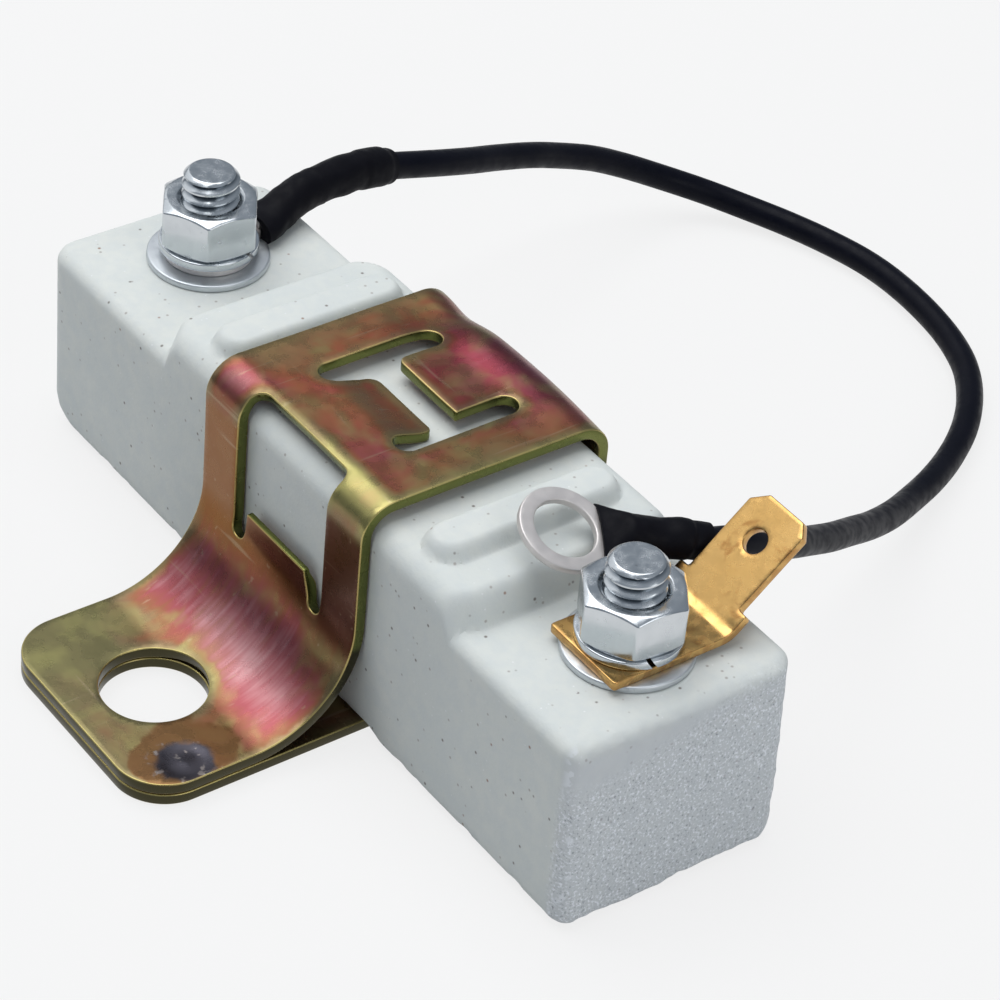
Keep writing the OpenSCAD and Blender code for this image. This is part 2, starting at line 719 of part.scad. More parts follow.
ceramic_body();
cement_seal();
resistance_coil();
strap_bracket();
terminal_stud(-1, ring_thick);  // left_terminal_stud
terminal_stud(1, spade_thick);  // right_terminal_stud
flat_washer(-1);  // left_flat_washer
flat_washer(1);  // right_flat_washer
spring_washer(-1, ring_thick, left_split);  // left_spring_washer
spring_washer(1, spade_thick, right_split);  // right_spring_washer
hex_nut(-1, ring_thick);  // left_hex_nut
hex_nut(1, spade_thick);  // right_hex_nut
spade_terminal();
fixed_ring_terminal();
fixed_sleeve();
jumper_lead();
free_sleeve();
free_ring_terminal();
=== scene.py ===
from math import asin, atan2, ceil, cos, degrees, exp, log, pi, radians, sin, sqrt, tan

import bmesh
import bpy
import numpy as np
from mathutils import Matrix, Vector, noise
from mathutils.geometry import delaunay_2d_cdt


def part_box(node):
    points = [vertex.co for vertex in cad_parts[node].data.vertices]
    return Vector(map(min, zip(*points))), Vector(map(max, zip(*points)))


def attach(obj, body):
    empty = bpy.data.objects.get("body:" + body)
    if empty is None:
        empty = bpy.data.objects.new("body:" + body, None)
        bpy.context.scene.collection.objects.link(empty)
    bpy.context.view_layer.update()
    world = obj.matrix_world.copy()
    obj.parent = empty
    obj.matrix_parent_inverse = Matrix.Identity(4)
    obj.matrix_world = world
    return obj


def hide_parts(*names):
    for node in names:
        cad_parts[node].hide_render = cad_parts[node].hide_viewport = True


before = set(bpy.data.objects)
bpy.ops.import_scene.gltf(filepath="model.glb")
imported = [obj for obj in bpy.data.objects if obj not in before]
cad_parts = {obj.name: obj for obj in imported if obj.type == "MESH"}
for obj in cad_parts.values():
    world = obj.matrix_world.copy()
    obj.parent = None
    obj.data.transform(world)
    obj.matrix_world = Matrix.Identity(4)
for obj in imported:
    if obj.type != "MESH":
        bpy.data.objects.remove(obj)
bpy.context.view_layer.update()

# Lengths below are in millimetres, and MM turns them into metres
MM = 0.001
PER_METRE = 1000.0
FULL_TURN = 2 * pi

# Body and its terminals
BODY_Y = 23.5
LAND_Z = 18.0
TERMINAL_Z = 18.6
TERMINAL_THICK = 0.8
SPRING_THICK = 0.75
STUD_X = 30.0
STUD_R = 2.5
STUD_HOLE_R = 2.65

# Lead and its two ring terminals
LEAD_R = 1.25
LEAD_HOLE_R = LEAD_R + 0.02
LEAD_STEPS = 6
LEAD_ROUNDNESS = 8
BARREL_START = 4.919
BARREL_END = 9.519
BARREL_RISE = 1.1
FIXED_SLEEVE_START = 4.8
FIXED_SLEEVE_END = 12.519
SAG_R = 26.0
SAG_TURN = 20.0
FREE_SLEEVE_START = 2.95
FREE_SLEEVE_END = 11.819
FIXED_RING_AT = Vector((-STUD_X, BODY_Y, 19.0))
FREE_RING_AT = Vector((20.75, 23.75, 23.0))
FIXED_POSE = Matrix.Rotation(radians(10), 3, "Z")
FREE_POSE = (
    Matrix.Rotation(radians(-22), 3, "Z")
    @ Matrix.Rotation(radians(-16), 3, "X")
    @ Matrix.Rotation(radians(17.5), 3, "Y")
)
LEAD_ROUTE = [
    (-34.2, 50.5, 16.7), (-35, 55, 15.1), (-36, 59, 13.6), (-36.8, 63.5, 12), (-37.5, 67.5, 10.3),
    (-37.8, 72, 8.4), (-37.6, 76, 6.4), (-36.6, 80, 4.4), (-34.4, 83.8, 2.8), (-31.2, 86.8, 1.8),
    (-27.4, 89, 1.4), (-23, 90.6, 1.3), (-18.5, 91.6, 1.3), (-14, 91.8, 1.3), (-9, 91.3, 1.3),
    (-4.4, 90.2, 1.3), (-0.3, 88.4, 1.3), (3.4, 85.6, 1.3), (6.5, 82.2, 1.3), (9.2, 78.1, 1.5),
    (11.6, 73.7, 2.2), (13.7, 69.2, 3.2), (16, 64.7, 4.9), (18.1, 60.1, 7), (20, 55.8, 9.4),
    (21.9, 51.6, 11.8), (23.4, 47.6, 14.1), (24.9, 43.8, 16.4), (25.6, 40.4, 18.3), (25.7, 37.4, 19.9),
]

# Camera that sees the part as the photograph does
CAMERA_AZ = radians(50.746)
CAMERA_EL = radians(38.055)
CAMERA_ROLL = radians(-5.726)
CAMERA_TARGET = Vector((3.086, 31.528, 10.766))
CAMERA_DISTANCE = 308.328
CAMERA_LENS = 133.422
SENSOR = 36.0
CLIP_NEAR = 0.01
CLIP_FAR = 10


def on_fixed(x, y, z):
    return FIXED_RING_AT + FIXED_POSE @ Vector((x, y, z))


def on_free(x, y, z):
    return FREE_RING_AT + FREE_POSE @ Vector((x, y, z))


def sag_point(turn):
    a = radians(turn)
    return on_fixed(0, FIXED_SLEEVE_END + SAG_R * sin(a), BARREL_RISE - SAG_R * (1 - cos(a)))


# Object with its data, put into the scene
def add_object(name, data):
    thing = bpy.data.objects.new(name, data)
    bpy.context.collection.objects.link(thing)
    return thing


def make_camera():
    data = bpy.data.cameras.new("camera")
    data.lens = CAMERA_LENS
    data.sensor_width = SENSOR
    data.clip_start = CLIP_NEAR
    data.clip_end = CLIP_FAR
    camera = add_object("camera", data)
    turn = Matrix.Rotation(CAMERA_AZ, 4, "Z") @ Matrix.Rotation(pi / 2 - CAMERA_EL, 4, "X")
    turn = turn @ Matrix.Rotation(-CAMERA_ROLL, 4, "Z")
    back = turn.col[2].xyz
    camera.matrix_world = Matrix.Translation((CAMERA_TARGET + back * CAMERA_DISTANCE) * MM) @ turn
    bpy.context.scene.camera = camera


make_camera()


# Smooth line through the points, as a Catmull-Rom spline with several steps to each span
def smooth_line(points, steps):
    points = [Vector(p) for p in points]
    first = points[0] * 2 - points[1]
    last = points[-1] * 2 - points[-2]
    held = [first] + points + [last]
    line = []
    for i in range(1, len(held) - 2):
        a, b, c, d = held[i - 1], held[i], held[i + 1], held[i + 2]
        for k in range(steps):
            t = k / steps
            line.append(0.5 * (
                2 * b + (c - a) * t + (2 * a - 5 * b + 4 * c - d) * t * t + (3 * b - a - 3 * c + d) * t ** 3
            ))
    line.append(points[-1])
    return line


def line_length(points):
    return sum((b - a).length for a, b in zip(points, points[1:]))


# Jumper lead, from barrel to barrel
def make_lead():
    points = [on_fixed(0, BARREL_END, BARREL_RISE), on_fixed(0, FIXED_SLEEVE_END, BARREL_RISE)]
    points += [sag_point(SAG_TURN * part / 3) for part in (1, 2, 3)]
    points += [Vector(p) for p in LEAD_ROUTE]
    points += [on_free(0, FREE_SLEEVE_END, BARREL_RISE), on_free(0, BARREL_END, BARREL_RISE)]
    line = smooth_line(points, LEAD_STEPS)
    curve = bpy.data.curves.new("lead", "CURVE")
    curve.dimensions = "3D"
    spline = curve.splines.new("POLY")
    spline.points.add(len(line) - 1)
    for point, place in zip(spline.points, line):
        point.co = (*(place * MM), 1)
    curve.bevel_depth = LEAD_R * MM
    curve.bevel_resolution = LEAD_ROUNDNESS
    curve.use_fill_caps = True
    return add_object("lead", curve), line


lead, lead_line = make_lead()


# Piece made from points in millimetres, which may merge those within a small gap
MERGE_GAP = 1e-4


def make_piece(name, points, faces, material, node, sharp=None, merge=False):
    mesh = bpy.data.meshes.new(name)
    mesh.from_pydata([tuple(float(c) * MM for c in p) for p in points], [], faces)
    work = bmesh.new()
    work.from_mesh(mesh)
    if merge:
        bmesh.ops.remove_doubles(work, verts=work.verts, dist=MERGE_GAP * MM)
    bmesh.ops.recalc_face_normals(work, faces=work.faces)
    work.to_mesh(mesh)
    work.free()
    mesh.shade_smooth()
    if sharp is not None:
        mesh.set_sharp_from_angle(angle=radians(sharp))
    piece = add_object(name, mesh)
    dress(piece, material, node)
    return piece


def dress(piece, material, node):
    piece.data.materials.clear()
    piece.data.materials.append(material)
    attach(piece, "root")
    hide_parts(node)


# Faces between two closed rows of points
def between(one, two):
    return [(a, b, d, c) for a, b, c, d in zip(one, two, one[1:] + one[:1], two[1:] + two[:1])]


# Closed loop with rounded corners, in equal steps, less the points closer than a share of a step
def rounded_loop(corners, step, closest=0.02):
    loop = []
    count = len(corners)
    for i, (x, y, r) in enumerate(corners):
        here = Vector((x, y))
        before = (Vector(corners[i - 1][:2]) - here).normalized()
        after = (Vector(corners[(i + 1) % count][:2]) - here).normalized()
        if r <= 0:
            loop.append(here)
            continue
        half = before.angle(after) / 2
        reach = r / tan(half)
        centre = here + (before + after).normalized() * (r / sin(half))
        start = here + before * reach - centre
        end = here + after * reach - centre
        sweep = atan2(start.x * end.y - start.y * end.x, start.dot(end))
        parts = max(2, ceil(abs(sweep) * r / step))
        for k in range(parts + 1):
            a = sweep * k / parts
            loop.append(centre + Vector((
                start.x * cos(a) - start.y * sin(a), start.x * sin(a) + start.y * cos(a)
            )))
    dense = []
    for i, here in enumerate(loop):
        there = loop[(i + 1) % len(loop)]
        parts = max(1, ceil((there - here).length / step))
        dense += [here.lerp(there, k / parts) for k in range(parts)]
    kept = [dense[0]]
    for point in dense[1:]:
        if (point - kept[-1]).length > closest * step:
            kept.append(point)
    return np.array([tuple(p) for p in kept])


def box_loop(half, low, high, radii, step):
    corners = ((-half, low), (half, low), (half, high), (-half, high))
    return rounded_loop([(*corner, r) for corner, r in zip(corners, radii)], step)


def circle_loop(x, y, r, step, fewest=24):
    count = max(fewest, ceil(FULL_TURN * r / step))
    a = np.arange(count) * FULL_TURN / count
    return np.stack([x + r * np.cos(a), y + r * np.sin(a)], 1)


def signed_area(loop):
    after = np.roll(loop, -1, 0)
    return 0.5 * np.sum(loop[:, 0] * after[:, 1] - loop[:, 1] * after[:, 0])


def inset_loop(loop, distance, least_lean=0.5):
    before = loop - np.roll(loop, 1, 0)
    after = np.roll(loop, -1, 0) - loop
    before /= np.linalg.norm(before, axis=1)[:, None]
    after /= np.linalg.norm(after, axis=1)[:, None]
    normal = np.stack([-before[:, 1], before[:, 0]], 1)
    middle = normal + np.stack([-after[:, 1], after[:, 0]], 1)
    middle /= np.linalg.norm(middle, axis=1)[:, None]
    lean = np.maximum(least_lean, np.sum(middle * normal, 1))
    return loop + middle * (distance / lean)[:, None]


def inside(points, loops):
    found = np.zeros(len(points), bool)
    x, y = points[:, 0:1], points[:, 1:2]
    for loop in loops:
        after = np.roll(loop, -1, 0)
        ax, ay, bx, by = loop[:, 0], loop[:, 1], after[:, 0], after[:, 1]
        crosses = (ay > y) != (by > y)
        at = ax + (y - ay) * (bx - ax) / np.where(by == ay, 1, by - ay)
        found ^= (np.sum(crosses & (x < at), 1) % 2).astype(bool)
    return found


def nearest(points, others, at_once=200):
    best = np.full(len(points), np.inf)
    for chunk in np.array_split(others, max(1, len(others) // at_once)):
        gap = np.linalg.norm(points[:, None, :] - chunk[None, :, :], axis=2)
        best = np.minimum(best, gap.min(1))
    return best


# Rows of the grid and its least distance from the loops, as shares of a cell, and the reach that joins points
ROW_SHARE = 0.866
CLEAR_SHARE = 0.6
SAME_POINT = 1e-7
# Triangles thinner than this share of their longest side squared lie along an edge and are left out
SLIVER_SHARE = 2e-4


# Triangles between closed loops, with points of a grid inside, and the place of each loop point among them
def flat_fill(loops, cell):
    ring = np.concatenate(loops)
    low, high = ring.min(0), ring.max(0)
    grid = []
    for k, row in enumerate(np.arange(low[1], high[1], cell * ROW_SHARE)):
        across = np.arange(low[0] + cell * 0.5 * (k % 2), high[0], cell)
        grid.append(np.stack([across, np.full(len(across), row)], 1))
    grid = np.concatenate(grid)
    grid = grid[inside(grid, loops)]
    grid = grid[nearest(grid, ring) > CLEAR_SHARE * cell]
    edges = []
    start = 0
    for loop in loops:
        count = len(loop)
        edges += [(start + i, start + (i + 1) % count) for i in range(count)]
        start += count
    found = delaunay_2d_cdt([Vector(p) for p in np.concatenate([ring, grid])], edges, [], 0, SAME_POINT)
    spots = np.array([tuple(v) for v in found[0]])
    place_of = {old: new for new, olds in enumerate(found[3]) for old in olds}
    faces = np.array([f for f in found[2] if len(f) == 3])
    corners = spots[faces]
    sides = np.roll(corners, -1, 1) - corners
    area = 0.5 * np.abs(sides[:, 0, 0] * sides[:, 1, 1] - sides[:, 0, 1] * sides[:, 1, 0])
    sliver = area < SLIVER_SHARE * np.max(np.sum(sides ** 2, 2), 1)
    return spots, faces[inside(corners.mean(1), loops) & ~sliver], place_of


# Depths from the cut edge that the materials get on the rounded rim, on the cut wall and on an added tube
RIM_DEPTH = -0.2
WALL_DEPTH = -1.0
TUBE_DEPTH = 3.0
RIM_TURNS = (60, 30, 0)
# Least inset of a row from its loop
HAIR = 1e-6


# Sheet of metal with rounded edges: a flat pattern, cut through by holes, laid along a bent path by place
def make_sheet(name, outer, holes, thick, edge, cell, place, material, node, extra=None):
    loops = [outer if signed_area(outer) > 0 else outer[::-1]]
    loops += [hole if signed_area(hole) < 0 else hole[::-1] for hole in holes]
    half = thick / 2
    spots, faces, place_of = flat_fill([inset_loop(loop, edge) for loop in loops], cell)
    size = len(spots)
    depth = nearest(spots, np.concatenate(loops))
    flat_xy = [spots, spots]
    level = [np.full(size, half), np.full(size, -half)]
    depths = [depth, depth]
    quads = [tuple(f) for f in faces.tolist() + (faces[:, ::-1] + size).tolist()]
    base = 2 * size
    steps = [(turn, 1) for turn in RIM_TURNS] + [(turn, -1) for turn in reversed(RIM_TURNS)]
    start = 0
    for loop in loops:
        count = len(loop)
        rows = [[place_of[start + i] for i in range(count)]]
        for turn, side in steps:
            a = radians(turn)
            flat_xy.append(inset_loop(loop, edge * (1 - cos(a)) + HAIR))
            level.append(np.full(count, side * (half - edge + edge * sin(a))))
            depths.append(np.full(count, RIM_DEPTH if turn else WALL_DEPTH))
            rows.append([base + i for i in range(count)])
            base += count
        rows.append([size + place_of[start + i] for i in range(count)])
        for upper, lower in zip(rows, rows[1:]):
            quads += between(upper, lower)
        start += count
    flat_xy = np.concatenate(flat_xy)
    depths = np.concatenate(depths)
    points = place(flat_xy[:, 0], flat_xy[:, 1], np.concatenate(level))
    if extra is not None:
        more, more_faces = extra
        quads += [tuple(i + len(points) for i in face) for face in more_faces]
        flat_xy = np.concatenate([flat_xy, np.zeros((len(more), 2))])
        depths = np.concatenate([depths, np.full(len(more), TUBE_DEPTH)])
        points = np.concatenate([points, more])
    piece = make_piece(name, points, quads, material, node)
    strip = piece.data.attributes.new("strip", "FLOAT_VECTOR", "POINT")
    strip.data.foreach_set("vector", np.column_stack([flat_xy, depths]).ravel())
    return piece


# Path of a bent strip, as straight runs and bends of (length, turn in degrees), traced in small steps
def trace(start, heading, runs, step=0.004):
    lengths, angles = [0.0], [radians(heading)]
    for length, turn in runs:
        parts = max(2, ceil(length / step))
        for k in range(1, parts + 1):
            lengths.append(lengths[-1] + length / parts)
            angles.append(angles[-1] + radians(turn) / parts)
    lengths, angles = np.array(lengths), np.array(angles)
    middle = (angles[1:] + angles[:-1]) / 2
    gaps = np.diff(lengths)
    y = start[0] + np.concatenate([[0], np.cumsum(gaps * np.cos(middle))])
    z = start[1] + np.concatenate([[0], np.cumsum(gaps * np.sin(middle))])
    return lengths, y, z, angles


def along(path, s, n):
    lengths, y, z, angles = path
    at_y, at_z, a = np.interp(s, lengths, y), np.interp(s, lengths, z), np.interp(s, lengths, angles)
    return at_y - n * np.sin(a), at_z + n * np.cos(a)


def smooth_step(low, high, value):
    t = np.clip((value - low) / (high - low), 0, 1)
    return t * t * (3 - 2 * t)


# Profile with its corners rounded, each within a share of the two sides that meet there
def fillet(points, radii, steps=3, share=0.45):
    out = []
    count = len(points)
    for i, (point, r) in enumerate(zip(points, radii)):
        here = Vector(point)
        before = Vector(points[i - 1]) - here
        after = Vector(points[(i + 1) % count]) - here
        reach = min(r, before.length * share, after.length * share)
        first = here + before.normalized() * reach
        last = here + after.normalized() * reach
        for k in range(steps + 1):
            t = k / steps
            out.append(tuple((1 - t) ** 2 * first + 2 * t * (1 - t) * here + t * t * last))
    return out


# Profile turned about the Z axis, with end faces where it isn't turned all the way
def turned(profile_at, sides, centre, start=0.0, sweep=FULL_TURN, shift=None):
    closed = sweep == FULL_TURN
    rings = sides if closed else sides + 1
    points, faces = [], []
    for k in range(rings):
        a = start + sweep * k / sides
        profile = profile_at(a)
        for r, z in profile:
            b = a + (shift(z) if shift else 0)
            points.append((centre[0] + r * cos(b), centre[1] + r * sin(b), centre[2] + z))
    count = len(profile)
    rows = [list(range(k * count, (k + 1) * count)) for k in range(rings)]
    for k in range(sides):
        faces += between(rows[k], rows[(k + 1) % rings])
    if not closed:
        faces += [tuple(rows[0]), tuple(reversed(rows[-1]))]
    return points, faces


# Faces of a tube whose rows hold an outer and an inner ring of points
def tube_faces(rows, sides):
    rings = [list(range(i * sides, (i + 1) * sides)) for i in range(2 * rows)]
    faces = []
    for i in range(2 * rows - 2):
        faces += between(rings[i], rings[i + 2])
    return faces + between(rings[0], rings[1]) + between(rings[-2], rings[-1])


# Straight tube through the points of a line, with the radii of its outer and its inner wall
def tube(line, radii, sides):
    ahead = (line[-1] - line[0]).normalized()
    side = ahead.cross(Vector((0, 0, 1))).normalized()
    over = side.cross(ahead)
    points = []
    for place in line:
        for r in radii:
            for k in range(sides):
                a = FULL_TURN * k / sides
                points.append(tuple(place + side * (r * cos(a)) + over * (r * sin(a))))
    return np.array(points), tube_faces(len(line), sides)


# Nodes of a material or of the world
class Graph:
    def __init__(self, tree):
        self.tree = tree
        self.coord = self.new("TexCoord").outputs
        self.place = self.coord["Object"]

    def put(self, socket, value):
        if isinstance(value, bpy.types.NodeSocket):
            self.tree.links.new(value, socket)
        elif socket.type == "RGBA":
            socket.default_value = (*value, 1.0)
        else:
            socket.default_value = value

    def fill(self, node, inputs):
        for key, value in inputs.items():
            self.put(node.inputs[key], value)
        return node

    def new(self, kind, inputs=None):
        return self.fill(self.tree.nodes.new("ShaderNode" + kind), inputs or {})

    def noise(self, size, detail=2.0, roughness=0.5, place=None, distort=0.0):
        return self.new("TexNoise", {
            "Vector": place or self.place, "Scale": PER_METRE / size, "Detail": detail,
            "Roughness": roughness, "Distortion": distort,
        }).outputs["Fac"]

    # Distance from the middle of each cell, and a share of chance for the cell
    def cells(self, size):
        found = self.new("TexVoronoi", {"Vector": self.place, "Scale": PER_METRE / size}).outputs
        return found["Distance"], self.split(found["Color"])[0]

    def math(self, operation, a, b=0.0, clamp=False):
        node = self.new("Math", {0: a, 1: b})
        node.operation = operation
        node.use_clamp = clamp
        return node.outputs[0]

    def times(self, a, b):
        return self.math("MULTIPLY", a, b)

    def plus(self, a, b):
        return self.math("ADD", a, b)

    def minus(self, a, b):
        return self.math("SUBTRACT", a, b)

    # Noise as a swing to both sides of zero
    def swing(self, value, size):
        return self.times(self.minus(value, 0.5), size)

    def span(self, value, low, high, to_low=0.0, to_high=1.0):
        node = self.new("MapRange", {
            "Value": value, "From Min": low, "From Max": high, "To Min": to_low, "To Max": to_high,
        })
        node.interpolation_type = "SMOOTHSTEP"
        return node.outputs["Result"]

    def fade(self, value, low, high, full=1.0):
        return self.span(value, low, high, full, 0.0)

    # Rises between the first two values and fades between the last two
    def band(self, value, low, full, fading, gone):
        return self.times(self.span(value, low, full), self.fade(value, fading, gone))

    def mottle(self, size, low, high):
        return self.span(self.noise(size, 3), 0.3, 0.7, low, high)

    def mix(self, factor, a, b, blend="MIX"):
        node = self.new("Mix")
        node.data_type = "RGBA"
        node.blend_type = blend
        return self.fill(node, {0: factor, 6: a, 7: b}).outputs[2]

    def ramp(self, value, stops, ease="LINEAR"):
        node = self.new("ValToRGB", {"Fac": value})
        node.color_ramp.interpolation = ease
        bar = node.color_ramp.elements
        while len(bar) < len(stops):
            bar.new(0.5)
        for element, (at, colour) in zip(bar, stops):
            element.position = at
            element.color = (*colour, 1.0)
        return node.outputs["Color"]

    def split(self, vector):
        return self.new("SeparateXYZ", {0: vector}).outputs[:3]

    def attribute(self, name, output="Vector"):
        node = self.new("Attribute")
        node.attribute_name = name
        return node.outputs[output]

    def stretched(self, scale, turn=(0, 0, 0), place=None):
        inputs = {"Vector": place or self.place, "Rotation": turn, "Scale": scale}
        return self.new("Mapping", inputs).outputs["Vector"]

    def bump(self, height, depth, strength=1.0):
        inputs = {"Height": height, "Distance": depth * MM, "Strength": strength}
        return self.new("Bump", inputs).outputs["Normal"]


class Look(Graph):
    def __init__(self, name, metallic, roughness):
        self.material = bpy.data.materials.new(name)
        self.material.use_nodes = True
        super().__init__(self.material.node_tree)
        self.shader = self.tree.nodes["Principled BSDF"]
        self.fill(self.shader, {"Metallic": metallic, "Roughness": roughness})

    # Colour laid over the tone so far
    def paint(self, factor, colour, blend="MIX"):
        self.tone = self.mix(factor, self.tone, colour, blend)

    def tint(self, factor, colour):
        self.paint(factor, colour, "MULTIPLY")

    def done(self, roughness=None, normal=None):
        inputs = {"Base Color": self.tone, "Roughness": roughness, "Normal": normal}
        self.fill(self.shader, {key: value for key, value in inputs.items() if value is not None})
        return self.material


def grey(value):
    return (value, value, value)


# Pale ceramic with specks of several sizes, each as size, reach, share of empty cells and colour
def ceramic_material():
    g = Look("ceramic", 0.0, 0.8)
    g.tone = g.mix(g.span(g.noise(14, 3), 0.35, 0.65), (0.68, 0.705, 0.675), (0.725, 0.74, 0.70))
    g.paint(g.mottle(1.2, 0.0, 0.35), (0.61, 0.65, 0.655))
    for size, reach, share, colour in (
        (1.2, 0.15, 0.45, (0.40, 0.37, 0.34)), (1.5, 0.13, 0.45, (0.15, 0.12, 0.10)),
        (2.2, 0.09, 0.60, (0.28, 0.14, 0.08)), (0.9, 0.12, 0.60, (0.82, 0.83, 0.83)),
    ):
        gap, chance = g.cells(size)
        speck = g.times(g.fade(gap, reach * 0.3, reach, 0.85), g.span(chance, share, share + 0.02))
        g.paint(speck, colour)
    # Rough right end, with places in metres: a darker, bluer tone on the end face, glints painted pale as
    # painted highlight, a chipped front edge, and pits painted dark as painted shade
    x, y, z = g.split(g.place)
    level = g.minus(z, g.span(y, 0.014, 0.032, 0.0, 0.0035))
    end = g.times(g.span(x, 0.0362, 0.0374), g.span(level, 0.0150, 0.0122))
    face = g.times(g.span(x, 0.0362, 0.0376), g.span(z, 0.0180, 0.0160))
    g.paint(g.times(face, 0.5), (0.64, 0.66, 0.70))
    grit = g.noise(0.24, 2, 0.6)
    # Painted highlight: glints painted near-white where the grit is high
    glint = g.times(g.span(grit, 0.54, 0.66), end)
    g.paint(g.times(glint, 0.9), (0.94, 0.96, 1.0))
    edge = g.times(g.span(x, 0.0366, 0.0374), g.span(y, 0.0138, 0.0132))
    chip = g.times(g.span(g.noise(1.7, 3, 0.6), 0.56, 0.62), edge)
    g.paint(g.times(chip, 0.6), (0.90, 0.92, 0.95))
    # Painted shade: pits painted dark where the grit is low
    pit_shade = g.times(g.span(grit, 0.40, 0.30), end)
    g.paint(g.times(pit_shade, 0.8), (0.29, 0.31, 0.34))
    rough = g.minus(g.span(g.noise(0.8, 2), 0.3, 0.7, 0.7, 0.85), g.times(glint, 0.4))
    grain = g.plus(g.noise(0.35, 3, 0.6), g.times(g.noise(2.2, 3), 0.8))
    grain = g.plus(grain, g.times(g.times(grit, end), 3.0))
    return g.done(rough, g.bump(grain, 0.05, 0.5))


def cement_material():
    g = Look("cement", 0.0, 0.9)
    g.tone = g.mix(g.noise(2.5, 4), (0.62, 0.59, 0.52), (0.48, 0.46, 0.42))
    return g.done(None, g.bump(g.noise(0.7, 4, 0.6), 0.15, 0.8))


# Length of strip that the film's zones share, and the spot weld's place across and along it
FILM_LENGTH = 122.0
WELD_AT = (9.1, 5.0)


# Steel under a chromate film, with places in millimetres across (x), along (s) and from the cut edge (depth)
def strap_material():
    g = Look("chromated_steel", 0.9, 0.27)
    strip = g.attribute("strip")
    x, s, depth = g.split(strip)
    off_middle = g.math("ABSOLUTE", x)
    cloud = g.noise(7.0, 2, 0.45, distort=0.4)
    patch = g.noise(1.6, 2, 0.5)
    # Film by zones along the strip, clouded and streaked, thinner on the bend's right side, flanks, tab and
    # edges; the pink peak at the top bend and the bend's yellow-green right side are partly film colour and
    # partly painted highlight
    zone = g.ramp(g.math("DIVIDE", s, FILM_LENGTH), [(at, grey(value)) for at, value in (
        (0.0, 0.18), (0.05, 0.26), (0.090, 0.56), (0.128, 0.78), (0.15, 0.66), (0.175, 0.46), (0.28, 0.40),
        (0.30, 0.88), (0.32, 0.56), (0.43, 0.66), (0.50, 0.40), (0.62, 0.38), (1.0, 0.35),
    )], "EASE")
    film = g.plus(zone, g.swing(cloud, 0.8))
    drawn = g.noise(650.0, 2, 0.6, g.stretched((1.0, 0.08, 0.0), place=strip))
    drawn = g.swing(drawn, g.span(s, 8.0, 15.0, 0.0, 0.5))
    film = g.plus(film, g.times(drawn, g.span(s, 24.0, 36.0, 1.0, 0.3)))
    film = g.plus(film, g.swing(patch, 0.12))
    bend = g.band(s, 34.2, 36.0, 37.4, 39.0)
    film = g.minus(film, g.times(bend, g.span(x, -5.0, 6.0, 0.0, 0.80)))
    top = g.band(s, 37.0, 40.0, 54.0, 57.0)
    flanks = g.times(top, g.span(off_middle, 5.5, 10.5, 0.0, 0.26))
    tab = g.times(g.band(s, 41.5, 43.0, 46.5, 47.5), g.fade(off_middle, 3.6, 4.6, 0.22))
    film = g.minus(film, g.plus(flanks, tab))
    film = g.minus(film, g.times(g.fade(x, -10.0, 3.0, 0.32), g.fade(s, 11.0, 16.0)))
    near = g.span(g.plus(depth, g.swing(patch, 0.8)), 0.0, 1.4)
    film = g.times(film, g.plus(g.times(near, 0.7), 0.3))
    g.tone = g.ramp(film, [
        (0.0, (0.180, 0.160, 0.074)), (0.14, (0.205, 0.155, 0.080)), (0.28, (0.21, 0.13, 0.07)),
        (0.42, (0.23, 0.095, 0.050)), (0.56, (0.26, 0.080, 0.060)), (0.70, (0.28, 0.072, 0.082)),
        (0.84, (0.34, 0.130, 0.140)), (1.0, (0.45, 0.24, 0.245)),
    ])
    # Brighter plate, darker rear tab, green patches, a painted highlight on the bend's right side, a brown
    # leg with painted shade darkening its right side, and worn strokes
    g.tint(g.times(top, g.fade(x, 0.0, 7.0)), (1.6, 1.35, 1.2))
    g.tint(g.times(top, g.span(x, 3.0, 9.0)), (1.3, 1.36, 1.17))
    rear = g.times(g.band(s, 47.5, 50.0, 57.0, 60.0), g.fade(off_middle, 5.0, 9.0))
    g.tint(rear, (0.66, 0.52, 0.70))
    green = g.span(g.noise(4.2, 2, 0.5, distort=0.8), 0.44, 0.74, 0.0, 0.62)
    g.paint(g.times(green, g.fade(film, 0.50, 0.95)), (0.29, 0.27, 0.105))
    # Painted highlight: the bend's right side is brightened
    g.tint(g.times(bend, g.span(x, 0.0, 8.0)), (1.8, 1.8, 1.5))
    leg = g.band(s, 19.5, 23.5, 33.0, 34.5)
    # Leg tone from brown on the left to dark red-brown on the right, the right side darkened as painted shade
    leg_tone_and_shade = g.mix(g.span(x, -8.0, 8.0), (0.22, 0.085, 0.016), (0.085, 0.020, 0.008))
    g.paint(g.times(leg, 0.94), leg_tone_and_shade)
    streak = g.noise(0.8, 2, 0.6, g.stretched((1.0, 0.05, 1.0), (0, 0, 0.06)))
    stroke = g.noise(0.9, 2, 0.6, g.stretched((0.06, 1.0, 1.0), (0, 0, 0.6)))
    worn = g.math("MAXIMUM", g.span(streak, 0.66, 0.74, 0.0, 0.3), g.span(stroke, 0.67, 0.75, 0.0, 0.3))
    g.paint(worn, (0.42, 0.33, 0.22))
    # Ragged brown ring, burnt spot and flecks of the weld
    weld = g.math("SQRT", g.plus(*[g.math("POWER", g.minus(a, at), 2.0) for a, at in zip((x, s), WELD_AT)]))
    ragged = g.plus(g.plus(weld, g.swing(cloud, 5.0)), g.swing(patch, 1.2))
    g.paint(g.fade(ragged, 4.6, 5.1, 0.9), (0.17, 0.083, 0.033))
    burn = g.plus(weld, g.swing(patch, 1.4))
    g.paint(g.fade(burn, 2.0, 2.7), (0.05, 0.047, 0.058))
    fleck = g.times(g.span(g.noise(0.9, 2), 0.60, 0.68), g.fade(weld, 2.6, 3.4, 0.8))
    g.paint(fleck, (0.26, 0.23, 0.22))
